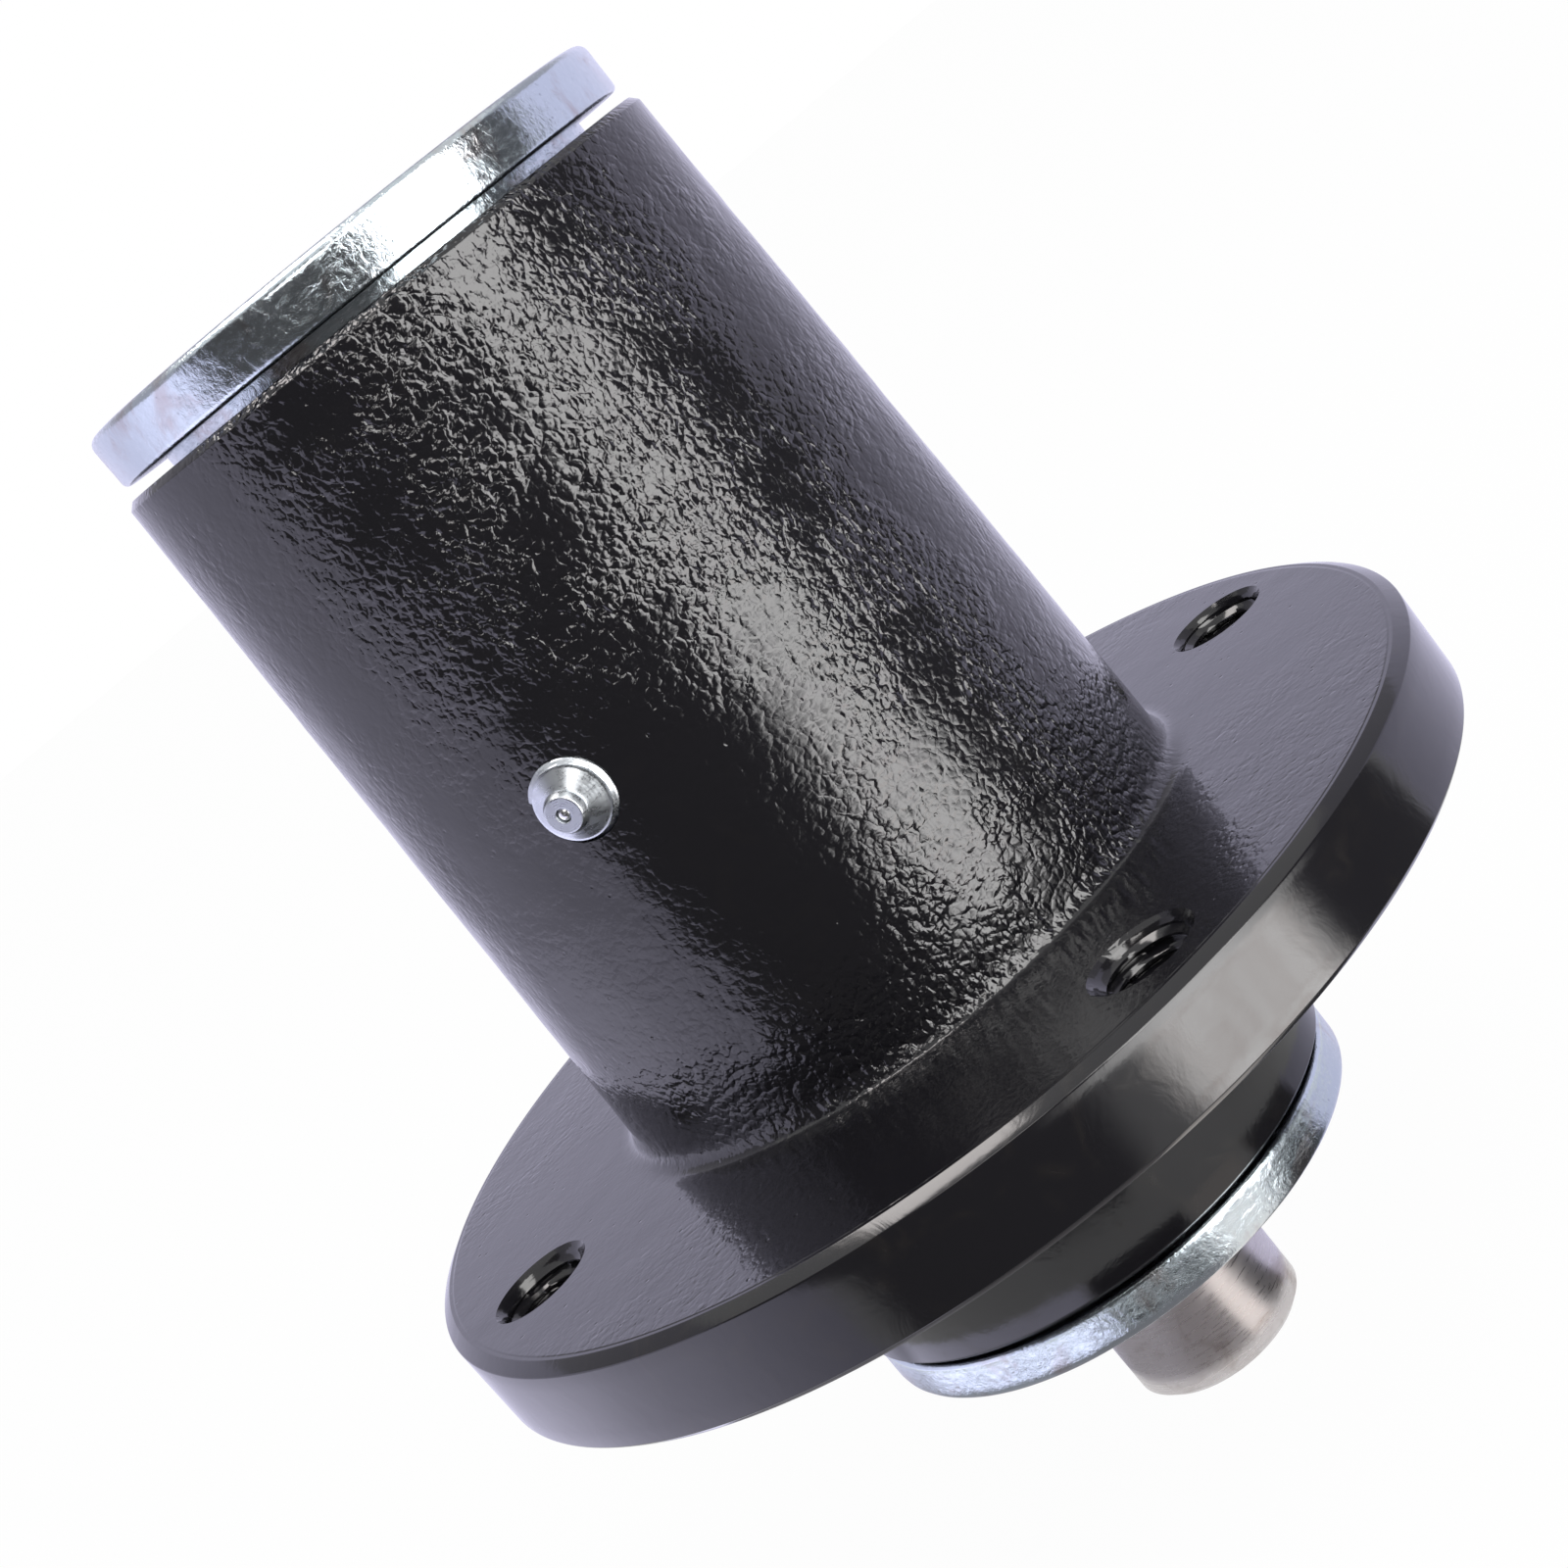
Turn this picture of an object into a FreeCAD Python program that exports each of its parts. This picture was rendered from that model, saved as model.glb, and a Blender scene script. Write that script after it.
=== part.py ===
import FreeCAD, Part
import math
import os

from FreeCAD import Placement, Rotation, Vector

# Mower deck spindle, in millimetres. +Z runs along the spindle's axis towards the pulley end.
# The origin is on that axis, in the mounting face under the flange.

# Housing casting
flange_radius = 75.0
flange_thickness = 13.0
flange_bevel_width = 1.66
flange_bevel_height = 1.06
edge_chamfer = 0.8
barrel_foot_radius = 42.0
barrel_top_radius = 38.5
barrel_height = 100.8
barrel_foot_fillet = 2.0
barrel_top_chamfer = 0.9
boss_radius = 36.6
boss_length = 26.95
cavity_radius = 30.0
cup_land_width = 6.0
cup_shoulder_height = 2.65

# Threaded holes in the flange
hole_count = 4
hole_radius = 6.0
hole_edge_distance = 12.5
hole_countersink = 0.9

# Levels at each end of the housing, counted inwards from its end face
mouth_depth = 6.0
seal_bore_depth = 9.0
bearing_recess = 4.5

# Caps on the two ends of the shaft
upper_cap_radius = 37.2
upper_cap_thickness = 6.8
upper_cap_gap = 1.5
upper_spigot_radius = 31.2
lower_cap_radius = 36.0
lower_cap_thickness = 6.1
lower_cap_gap = 0.65
lower_spigot_radius = 29.0
cap_edge_radius = 1.3
cap_hub_radius = 17.5
cap_recess_radius = 19.0
cap_recess_depth = 3.0
labyrinth_gap = 1.0

# Shaft
shaft_radius = 12.7
shaft_recess = 0.6
shaft_stick_out = 24.8
shaft_end_chamfer = 1.2
shaft_relief_depth = 0.4
shaft_relief_stand_out = 0.3
pulley_bolt_radius = 6.35
pulley_bolt_depth = 32.0
blade_bolt_radius = 7.94
blade_bolt_depth = 38.0
bolt_mouth_chamfer = 0.8
drill_point_angle = 118.0

# Tapered roller bearings
roller_count = 15
roller_radius = 2.96
roller_length = 9.0
roller_tilt = 13.0
roller_clearance = 0.12
pitch_wall = 6.35
cup_wall = 3.14
cup_width = 10.67
cone_width = 14.73
cone_stand_out = 3.55
small_rib_height = 0.7
large_rib_height = 2.15
rib_end_gap = 0.16
small_rib_gap = 0.48
cage_thickness = 1.0
cage_offset = 0.2
cage_small_overhang = 2.2
cage_large_overhang = 1.8
cage_lip_gap = 0.5
pocket_clearance = 0.18

# Spacer tube between the two bearing cones, a step smaller than their narrow ribs
spacer_step = 0.5

# Oil seals
seal_step = 2.8
seal_width = 8.0
seal_floor_gap = 0.5
seal_case_wall = 1.0
seal_lip_clearance = 0.08
seal_lip_reach = 4.4
seal_web_thickness = 1.4
seal_edge_height = 3.2
seal_edge_reach = 1.0
seal_edge_half_height = 1.6
garter_wire_radius = 0.7

# Retaining rings
ring_thickness = 1.3
ring_width = 3.2
ring_groove_depth = 0.7
ring_opening_angle = 40.0
ring_ear_radius = 2.0
ring_ear_hole_radius = 0.9

# Grease fitting
fitting_height = 46.2
fitting_azimuth = 226.0
thread_radius = 5.2
thread_length = 8.0
thread_stand_out = 0.5
shoulder_radius = 4.75
shoulder_height = 0.7
neck_height = 2.1
neck_radius = 2.2
head_base_height = 1.8
head_base_radius = 2.75
head_radius = 2.65
head_height = 2.9
head_face_radius = 2.2
head_face_height = 3.85
chamber_radius = 1.25
chamber_depth = 3.0
ball_radius = 1.1
ball_hole_radius = 0.9
ball_hole_length = 0.45
passage_radius = 0.7
spring_radius = 0.85
spring_wire_radius = 0.15
spring_turns = 5

# Clearances
fit_gap = 0.02
ball_gap = 0.04
spring_end_gap = 0.08

# Worked out from the sizes above
barrel_top = flange_thickness + barrel_height
boss_end = -boss_length
hole_circle_radius = flange_radius - hole_edge_distance
upper_mouth_radius = upper_spigot_radius + labyrinth_gap
lower_mouth_radius = lower_spigot_radius + labyrinth_gap
pitch_radius = shaft_radius + pitch_wall
cup_radius = pitch_radius + roller_radius + cup_wall
seal_radius = cup_radius + seal_step
land_radius = cup_radius - cup_shoulder_height
seal_floor = -mouth_depth - seal_bore_depth
cup_face = seal_floor - bearing_recess
cup_shoulder = cup_face - cup_width
cone_face = cup_face + cone_stand_out

# Sides of the thin springs' sections
GARTER_SIDES = 8
COIL_SIDES = 6

AXIS = Vector(0, 0, 1)
ORIGIN = Vector(0, 0, 0)


def turned(outline):
    """Turn a closed outline of (radius, height) points about Z into a solid."""
    points = [Vector(radius, 0, height) for radius, height in outline]
    face = Part.Face(Part.makePolygon(points + points[:1]))
    return face.revolve(ORIGIN, AXIS, 360)


def round_section(radius, height, section_radius, sides):
    """Corners of a many-sided section round the point (radius, height)."""
    corners = []
    for index in range(sides):
        angle = 2 * math.pi * index / sides
        across = radius + section_radius * math.cos(angle)
        corners.append((across, height + section_radius * math.sin(angle)))
    return corners


def ring_edges(shape, radius, height):
    """The circular edges about Z that have this radius and lie at this height."""
    found = []
    for edge in shape.Edges:
        curve = edge.Curve
        if not isinstance(curve, Part.Circle):
            continue
        level = abs(curve.Center.z - height) < 1e-4
        if level and abs(curve.Radius - radius) < 1e-4:
            found.append(edge)
    return found


def at_upper_end(shape):
    """Place a shape built outwards along +Z from the housing's end face on the upper end."""
    shape.Placement = Placement(Vector(0, 0, barrel_top), Rotation()).multiply(shape.Placement)
    return shape


def at_lower_end(shape):
    """The same on the lower end, turned over."""
    turn = Placement(Vector(0, 0, boss_end), Rotation(Vector(1, 0, 0), 180))
    shape.Placement = turn.multiply(shape.Placement)
    return shape


def export(name, shape):
    """Write one piece to its own file."""
    shape.exportStep("parts/" + name + ".step")


def around(shape, count):
    """Copies of a shape, evenly spaced about Z."""
    copies = []
    for index in range(count):
        copy = shape.copy()
        copy.rotate(ORIGIN, AXIS, index * 360.0 / count)
        copies.append(copy)
    return copies


def end_bore(end_face, direction, mouth_radius):
    """The stepped bore at one end of the casting, from its end face to its grease cavity."""
    mouth_floor = end_face - direction * mouth_depth
    seal_level = end_face + direction * seal_floor
    shoulder = end_face + direction * cup_shoulder
    land_end = shoulder - direction * cup_land_width
    cavity_end = land_end - direction * (cavity_radius - land_radius)
    return [
        (mouth_radius, end_face),
        (mouth_radius, mouth_floor),
        (seal_radius, mouth_floor),
        (seal_radius, seal_level),
        (cup_radius, seal_level),
        (cup_radius, shoulder),
        (land_radius, shoulder),
        (land_radius, land_end),
        (cavity_radius, cavity_end),
    ]


def grease_port():
    """The radial hole through the barrel's wall for the grease fitting."""
    reach = barrel_surface_radius(fitting_height) + thread_radius
    port = Part.makeCylinder(thread_radius + fit_gap, reach, ORIGIN, Vector(1, 0, 0))
    port.rotate(ORIGIN, AXIS, fitting_azimuth)
    port.translate(Vector(0, 0, flange_thickness + fitting_height))
    return port


def flange_holes():
    """The threaded holes with a countersink at the upper face, as solids to cut away."""
    mouth_radius = hole_radius + hole_countersink
    hole = turned([
        (0, 0),
        (hole_radius, 0),
        (hole_radius, flange_thickness - hole_countersink),
        (mouth_radius, flange_thickness),
        (0, flange_thickness),
    ])
    hole.translate(Vector(hole_circle_radius, 0, 0))
    return around(hole, hole_count)


def make_housing():
    """One iron casting: drafted barrel, round flange and pilot boss, bored at both ends."""
    outside = [
        (boss_radius - edge_chamfer, boss_end),
        (boss_radius, boss_end + edge_chamfer),
        (boss_radius, 0),
        (flange_radius - edge_chamfer, 0),
        (flange_radius, edge_chamfer),
        (flange_radius, flange_thickness - flange_bevel_height),
        (flange_radius - flange_bevel_width, flange_thickness),
        (barrel_foot_radius, flange_thickness),
        (barrel_top_radius, barrel_top - barrel_top_chamfer),
        (barrel_top_radius - barrel_top_chamfer, barrel_top),
    ]
    upper_bore = end_bore(barrel_top, 1, upper_mouth_radius)
    lower_bore = end_bore(boss_end, -1, lower_mouth_radius)
    casting = turned(outside + upper_bore + lower_bore[::-1])
    casting = casting.makeFillet(
        barrel_foot_fillet, ring_edges(casting, barrel_foot_radius, flange_thickness)
    )
    casting = casting.cut(flange_holes())
    return casting.cut(grease_port())


def end_cap(cap_radius, thickness, gap, spigot_radius):
    """A turned cap: thick disc, labyrinth spigot and a hub that reaches the bearing's cone."""
    bore_radius = shaft_radius + fit_gap
    spigot_end = -mouth_depth + labyrinth_gap
    top = gap + thickness
    recess_floor = top - cap_recess_depth
    cap = turned([
        (bore_radius, cone_face),
        (cap_hub_radius, cone_face),
        (cap_hub_radius, spigot_end),
        (spigot_radius, spigot_end),
        (spigot_radius, gap),
        (cap_radius, gap),
        (cap_radius, top),
        (cap_recess_radius, top),
        (cap_recess_radius, recess_floor),
        (bore_radius, recess_floor),
    ])
    rims = ring_edges(cap, cap_radius, gap) + ring_edges(cap, cap_radius, top)
    return cap.makeFillet(cap_edge_radius, rims)


def ring_seat(gap, thickness):
    """Height of the face that a retaining ring lies on, from the housing's end face."""
    return gap + thickness - cap_recess_depth


def retaining_ring(seat):
    """A sprung ring with two drilled ears, lying flat on its seat."""
    inner = shaft_radius - ring_groove_depth + fit_gap
    outer = inner + ring_width
    ear_circle = outer - ring_ear_radius / 2
    half_opening = math.radians(ring_opening_angle / 2)
    plate = Part.makeCylinder(outer, ring_thickness)
    ear_places = []
    for side in (-1, 1):
        angle = side * half_opening
        ear_places.append(Vector(ear_circle * math.cos(angle), ear_circle * math.sin(angle), 0))
    ears = [Part.makeCylinder(ring_ear_radius, ring_thickness, place) for place in ear_places]
    plate = plate.fuse(ears)
    reach = 2 * outer
    opening = Part.Face(Part.makePolygon([
        ORIGIN,
        Vector(reach, -reach * math.tan(half_opening), 0),
        Vector(reach, reach * math.tan(half_opening), 0),
        ORIGIN,
    ])).extrude(Vector(0, 0, ring_thickness))
    for place in ear_places:
        opening = opening.cut(Part.makeCylinder(ring_ear_radius, ring_thickness, place))
    cuts = [Part.makeCylinder(inner, ring_thickness), opening]
    cuts += [Part.makeCylinder(ring_ear_hole_radius, ring_thickness, place) for place in ear_places]
    ring = plate.cut(cuts).removeSplitter()
    ring.translate(Vector(0, 0, seat))
    return ring


def tapped_hole(radius, depth):
    """A blind hole along -Z from the origin, with a chamfered mouth and a drill point."""
    point_depth = radius / math.tan(math.radians(drill_point_angle / 2))
    return turned([
        (0, 0),
        (radius + bolt_mouth_chamfer, 0),
        (radius, -bolt_mouth_chamfer),
        (radius, -depth),
        (0, -depth - point_depth),
    ])


def make_shaft():
    """The ground shaft with a ring groove near each end and a tapped hole in each end.

    At the blade end it is relieved from the ring groove to just outside the lower cap.
    """
    top = barrel_top + upper_cap_gap + upper_cap_thickness - shaft_recess
    bottom = boss_end - lower_cap_gap - lower_cap_thickness - shaft_stick_out
    shaft = turned([
        (0, bottom),
        (shaft_radius - shaft_end_chamfer, bottom),
        (shaft_radius, bottom + shaft_end_chamfer),
        (shaft_radius, top - edge_chamfer),
        (shaft_radius - edge_chamfer, top),
        (0, top),
    ])
    groove = Part.makeCylinder(2 * shaft_radius, ring_thickness + 2 * fit_gap)
    groove = groove.cut(Part.makeCylinder(shaft_radius - ring_groove_depth, ring_thickness + 2 * fit_gap))
    upper_seat = barrel_top + ring_seat(upper_cap_gap, upper_cap_thickness)
    lower_seat = boss_end - ring_seat(lower_cap_gap, lower_cap_thickness)
    upper_groove = groove.copy()
    upper_groove.translate(Vector(0, 0, upper_seat - fit_gap))
    lower_groove = groove.copy()
    lower_groove.translate(Vector(0, 0, lower_seat - ring_thickness - fit_gap))
    cap_face = boss_end - lower_cap_gap - lower_cap_thickness
    relief_length = lower_seat - cap_face + shaft_relief_stand_out
    relief = Part.makeCylinder(2 * shaft_radius, relief_length)
    relief = relief.cut(Part.makeCylinder(shaft_radius - shaft_relief_depth, relief_length))
    relief.translate(Vector(0, 0, cap_face - shaft_relief_stand_out))
    pulley_hole = tapped_hole(pulley_bolt_radius, pulley_bolt_depth)
    pulley_hole.translate(Vector(0, 0, top))
    blade_hole = tapped_hole(blade_bolt_radius, blade_bolt_depth)
    blade_hole.rotate(ORIGIN, Vector(1, 0, 0), 180)
    blade_hole.translate(Vector(0, 0, bottom))
    return shaft.cut([upper_groove, lower_groove, relief, pulley_hole, blade_hole])


class RollerBearing:
    """One tapered roller bearing, whose raceways all meet in one point on the axis.

    Lengths along the rollers are counted from that point, and across them from the
    cone on which the rollers' centre lines lie.
    """

    def __init__(self):
        self.tilt = math.radians(roller_tilt)
        self.middle = pitch_radius / math.sin(self.tilt)
        self.slope = roller_radius / self.middle
        self.near = self.middle - roller_length / 2
        self.far = self.middle + roller_length / 2
        self.apex = cup_face - self.cup_far()

    def point(self, along, across):
        """(radius, height from the apex) of a place along and across the rollers' line."""
        radius = along * math.sin(self.tilt) + across * math.cos(self.tilt)
        height = along * math.cos(self.tilt) - across * math.sin(self.tilt)
        return radius, height

    def race_radius(self, height, side):
        """Radius of the outer (side 1) or inner (side -1) raceway at a height."""
        return height * math.tan(self.tilt + side * math.atan(self.slope))

    def cup_far(self):
        """Height of the cup's wide face from the apex."""
        return self.middle * math.cos(self.tilt) + cup_width / 2

    def roller(self, extra_radius, extra_length):
        """One roller's tapered body, grown by the two extra sizes."""
        near = self.near - extra_length
        far = self.far + extra_length
        base = Vector(near * math.sin(self.tilt), 0, self.apex + near * math.cos(self.tilt))
        line = Vector(math.sin(self.tilt), 0, math.cos(self.tilt))
        near_radius = near * self.slope - roller_clearance + extra_radius
        far_radius = far * self.slope - roller_clearance + extra_radius
        return Part.makeCone(near_radius, far_radius, far - near, base, line)

    def raise_to_apex(self, outline):
        """Count the heights of an outline from the housing's end face."""
        return [(radius, self.apex + height) for radius, height in outline]

    def small_rib_end(self):
        """Height at which the cone's narrow rib meets the raceway."""
        return self.point(self.near, -self.near * self.slope)[1] - small_rib_gap

    def small_rib_radius(self):
        """Outer radius of the cone's narrow rib."""
        return self.race_radius(self.small_rib_end(), -1) + small_rib_height

    def cup(self):
        """Outer ring with its raceway."""
        far = self.cup_far()
        near = far - cup_width
        return turned(self.raise_to_apex([
            (cup_radius - fit_gap, near),
            (self.race_radius(near, 1), near),
            (self.race_radius(far, 1), far),
            (cup_radius - fit_gap, far),
        ]))

    def cone(self):
        """Inner ring with its raceway between two ribs."""
        far = self.cup_far() + cone_stand_out
        near = far - cone_width
        far_rib_start = self.point(self.far, -self.far * self.slope)[1] + rib_end_gap
        near_race = self.race_radius(self.small_rib_end(), -1)
        far_race = self.race_radius(far_rib_start, -1)
        return turned(self.raise_to_apex([
            (shaft_radius + fit_gap, near),
            (self.small_rib_radius(), near),
            (self.small_rib_radius(), self.small_rib_end()),
            (near_race, self.small_rib_end()),
            (far_race, far_rib_start),
            (far_race + large_rib_height, far_rib_start),
            (far_race + large_rib_height, far),
            (shaft_radius + fit_gap, far),
        ]))

    def cage(self):
        """Pressed cage: a coned shell with an inner lip and one window for each roller."""
        near = self.near - cage_small_overhang
        far = self.far + cage_large_overhang
        outer = cage_offset + cage_thickness
        lip_height = self.point(near, outer)[1]
        lip_radius = self.small_rib_radius() + cage_lip_gap
        shell = turned(self.raise_to_apex([
            self.point(near, outer),
            self.point(far, outer),
            self.point(far, cage_offset),
            self.point(near + cage_thickness, cage_offset),
            (lip_radius, lip_height + cage_thickness),
            (lip_radius, lip_height),
        ]))
        window = self.roller(pocket_clearance, pocket_clearance)
        return shell.cut(around(window, roller_count))

    def rollers(self):
        """The full set of rollers, as separate solids."""
        return Part.makeCompound(around(self.roller(0, 0), roller_count))


def make_spacer(bearing):
    """The tube that sets the distance between the two cones."""
    top = barrel_top + cone_face - cone_width
    bottom = boss_end - cone_face + cone_width
    bore_radius = shaft_radius + fit_gap
    outer_radius = bearing.small_rib_radius() - spacer_step
    return turned([
        (bore_radius, bottom),
        (outer_radius, bottom),
        (outer_radius, top),
        (bore_radius, top),
    ])


def seal_case():
    """Pressed steel case of an oil seal."""
    floor = seal_floor + seal_floor_gap
    top = floor + seal_width
    outer = seal_radius - fit_gap
    inner = outer - seal_case_wall
    window = cap_hub_radius + seal_lip_reach
    return turned([
        (outer, floor),
        (outer, top),
        (window, top),
        (window, top - seal_case_wall),
        (inner, top - seal_case_wall),
        (inner, floor),
    ])


def seal_lip():
    """Rubber of an oil seal: a web under the case's cover and a lip that runs on the hub."""
    floor = seal_floor + seal_floor_gap
    cover = floor + seal_width - seal_case_wall
    wall = seal_radius - seal_case_wall - fit_gap
    web_floor = cover - seal_web_thickness
    edge = floor + seal_edge_height
    lip_back = cap_hub_radius + seal_lip_reach - seal_case_wall
    running = cap_hub_radius + seal_lip_clearance
    return turned([
        (wall, cover),
        (wall, web_floor),
        (lip_back + seal_case_wall / 2, web_floor),
        (lip_back, edge - seal_edge_half_height),
        (running + seal_edge_reach, edge - seal_edge_half_height),
        (running, edge),
        (running + seal_edge_reach, edge + seal_edge_half_height),
        (running + seal_edge_reach, cover),
    ])


def seal_garter():
    """Sprung ring that lies round the back of a seal's lip."""
    lip_back = cap_hub_radius + seal_lip_reach - seal_case_wall / 2
    ring_radius = lip_back + garter_wire_radius + fit_gap
    level = seal_floor + seal_floor_gap + seal_edge_height - seal_edge_half_height / 2
    return turned(round_section(ring_radius, level, garter_wire_radius, GARTER_SIDES))


def barrel_surface_radius(height):
    """Outer radius of the drafted barrel at a height above the flange."""
    share = height / (barrel_height - barrel_top_chamfer)
    return barrel_foot_radius + (barrel_top_radius - barrel_foot_radius) * share


def on_fitting_axis(shape):
    """Place a shape built outwards along +Z from the barrel's surface on the fitting's axis."""
    outward = Rotation(AXIS, fitting_azimuth).multiply(Rotation(Vector(0, 1, 0), 90))
    start = Vector(barrel_surface_radius(fitting_height), 0, 0)
    place = Rotation(AXIS, fitting_azimuth).multVec(start)
    place.z = flange_thickness + fitting_height
    shape.Placement = Placement(place, outward).multiply(shape.Placement)
    return shape


def make_grease_fitting():
    """Screwed grease fitting: thread, coned shoulder, neck and head with a seat for the ball."""
    seat_top = head_face_height - ball_hole_length
    seat_floor = seat_top - (chamber_radius - ball_hole_radius)
    return turned([
        (passage_radius, -thread_length),
        (thread_radius, -thread_length),
        (thread_radius, thread_stand_out),
        (shoulder_radius, shoulder_height),
        (head_base_radius, head_base_height),
        (neck_radius, neck_height),
        (head_radius, head_height),
        (head_face_radius, head_face_height),
        (ball_hole_radius, head_face_height),
        (ball_hole_radius, seat_top),
        (chamber_radius, seat_floor),
        (chamber_radius, -chamber_depth),
        (passage_radius, -chamber_depth),
    ])


def ball_height():
    """Height of the check ball's centre, held against the rim of its seat."""
    seat_top = head_face_height - ball_hole_length
    return seat_top - math.sqrt(ball_radius ** 2 - ball_hole_radius ** 2) - ball_gap


def make_check_spring():
    """Coil spring between the chamber's floor and the check ball."""
    contact = math.sqrt(ball_radius ** 2 - spring_radius ** 2)
    top = ball_height() - contact - spring_wire_radius - spring_end_gap
    bottom = -chamber_depth + spring_wire_radius + fit_gap
    pitch = (top - bottom) / spring_turns
    path = Part.makeHelix(pitch, top - bottom, spring_radius)
    corners = round_section(spring_radius, 0, spring_wire_radius, COIL_SIDES)
    points = [Vector(across, 0, level) for across, level in corners]
    section = Part.makePolygon(points + points[:1])
    spring = Part.Wire(path).makePipeShell([section], True, True)
    spring.translate(Vector(0, 0, bottom))
    return spring


def main():
    os.makedirs("parts", exist_ok=True)
    export("housing", make_housing())
    export("shaft", make_shaft())
    bearing = RollerBearing()
    export("bearing_spacer", make_spacer(bearing))
    upper_cap = end_cap(upper_cap_radius, upper_cap_thickness, upper_cap_gap, upper_spigot_radius)
    lower_cap = end_cap(lower_cap_radius, lower_cap_thickness, lower_cap_gap, lower_spigot_radius)
    export("upper_cap", at_upper_end(upper_cap))
    export("lower_cap", at_lower_end(lower_cap))
    upper_seat = ring_seat(upper_cap_gap, upper_cap_thickness)
    lower_seat = ring_seat(lower_cap_gap, lower_cap_thickness)
    export("upper_retaining_ring", at_upper_end(retaining_ring(upper_seat)))
    export("lower_retaining_ring", at_lower_end(retaining_ring(lower_seat)))
    for end, place in (("upper", at_upper_end), ("lower", at_lower_end)):
        export(end + "_bearing_cup", place(bearing.cup()))
        export(end + "_bearing_cone", place(bearing.cone()))
        export(end + "_bearing_cage", place(bearing.cage()))
        export(end + "_bearing_rollers", place(bearing.rollers()))
        export(end + "_seal_case", place(seal_case()))
        export(end + "_seal_lip", place(seal_lip()))
        export(end + "_seal_garter", place(seal_garter()))
    export("grease_fitting", on_fitting_axis(make_grease_fitting()))
    export("grease_check_ball", on_fitting_axis(Part.makeSphere(ball_radius, Vector(0, 0, ball_height()))))
    export("grease_check_spring", on_fitting_axis(make_check_spring()))


main()
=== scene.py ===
"""Mower deck spindle: smooth surfaces for what shows, a finish for every piece, and the studio.

Sizes are in millimetres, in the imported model's frame: +Z runs along the spindle's axis towards
the pulley end, and the origin lies on that axis in the mounting face under the flange.
"""

import itertools
import logging
import math
from dataclasses import dataclass, field
from enum import Enum
from typing import Callable

import bmesh
import bpy
import numpy as np
from mathutils import Matrix, Vector

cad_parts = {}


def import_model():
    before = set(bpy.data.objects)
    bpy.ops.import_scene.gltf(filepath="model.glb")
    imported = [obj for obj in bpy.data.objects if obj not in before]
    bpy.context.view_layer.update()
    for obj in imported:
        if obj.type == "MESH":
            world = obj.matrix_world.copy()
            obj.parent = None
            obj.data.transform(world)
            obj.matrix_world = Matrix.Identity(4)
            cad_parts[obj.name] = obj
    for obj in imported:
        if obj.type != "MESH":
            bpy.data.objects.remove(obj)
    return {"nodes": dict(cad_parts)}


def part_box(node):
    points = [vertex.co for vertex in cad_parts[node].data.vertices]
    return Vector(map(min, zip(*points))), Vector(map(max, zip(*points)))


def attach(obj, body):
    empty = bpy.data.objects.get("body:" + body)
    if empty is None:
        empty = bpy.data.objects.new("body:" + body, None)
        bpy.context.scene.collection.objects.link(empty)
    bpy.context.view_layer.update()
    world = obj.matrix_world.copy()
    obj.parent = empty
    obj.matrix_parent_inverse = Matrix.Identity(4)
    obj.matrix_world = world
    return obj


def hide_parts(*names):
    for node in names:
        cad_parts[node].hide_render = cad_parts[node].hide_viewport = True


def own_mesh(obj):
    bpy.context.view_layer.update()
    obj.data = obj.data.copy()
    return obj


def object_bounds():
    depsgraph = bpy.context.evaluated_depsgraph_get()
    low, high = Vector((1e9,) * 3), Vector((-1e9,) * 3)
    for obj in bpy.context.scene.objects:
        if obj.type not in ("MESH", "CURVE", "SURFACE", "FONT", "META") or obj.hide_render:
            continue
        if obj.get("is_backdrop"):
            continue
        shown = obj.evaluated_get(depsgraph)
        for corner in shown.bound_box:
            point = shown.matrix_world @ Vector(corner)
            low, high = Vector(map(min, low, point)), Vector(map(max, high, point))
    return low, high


MM = 0.001
LOG = logging.getLogger("mower_spindle")


# Surfaces


@dataclass(frozen=True)
class Corner:
    """A corner of a turned outline.

    Attributes:
        radius: Distance from the axis, in mm.
        height: Place along the axis, in mm.
        rounding: Radius of the arc that rounds the corner, in mm.
        run_step: Longest step on the run to the next corner, in mm.
    """

    radius: float
    height: float
    rounding: float = 0.0
    run_step: float = 1000.0


@dataclass
class Surface:
    """Points in mm, of shape (n, 3), and quads as rows of four indices."""

    points: np.ndarray
    faces: np.ndarray


def unit(vector: np.ndarray) -> np.ndarray:
    """Give a vector the length 1."""
    return vector / np.linalg.norm(vector)


def smooth_step(value: np.ndarray, low: float, high: float) -> np.ndarray:
    """Rise from 0 at low to 1 at high as 3t^2 - 2t^3, where t is the share of the way.

    Args:
        value: Values to map.
        low: Value that gives 0.
        high: Value that gives 1, which may be below low.

    Returns:
        The mapped values.
    """
    share = np.clip((value - low) / (high - low), 0.0, 1.0)
    return share * share * (3.0 - 2.0 * share)


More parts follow.
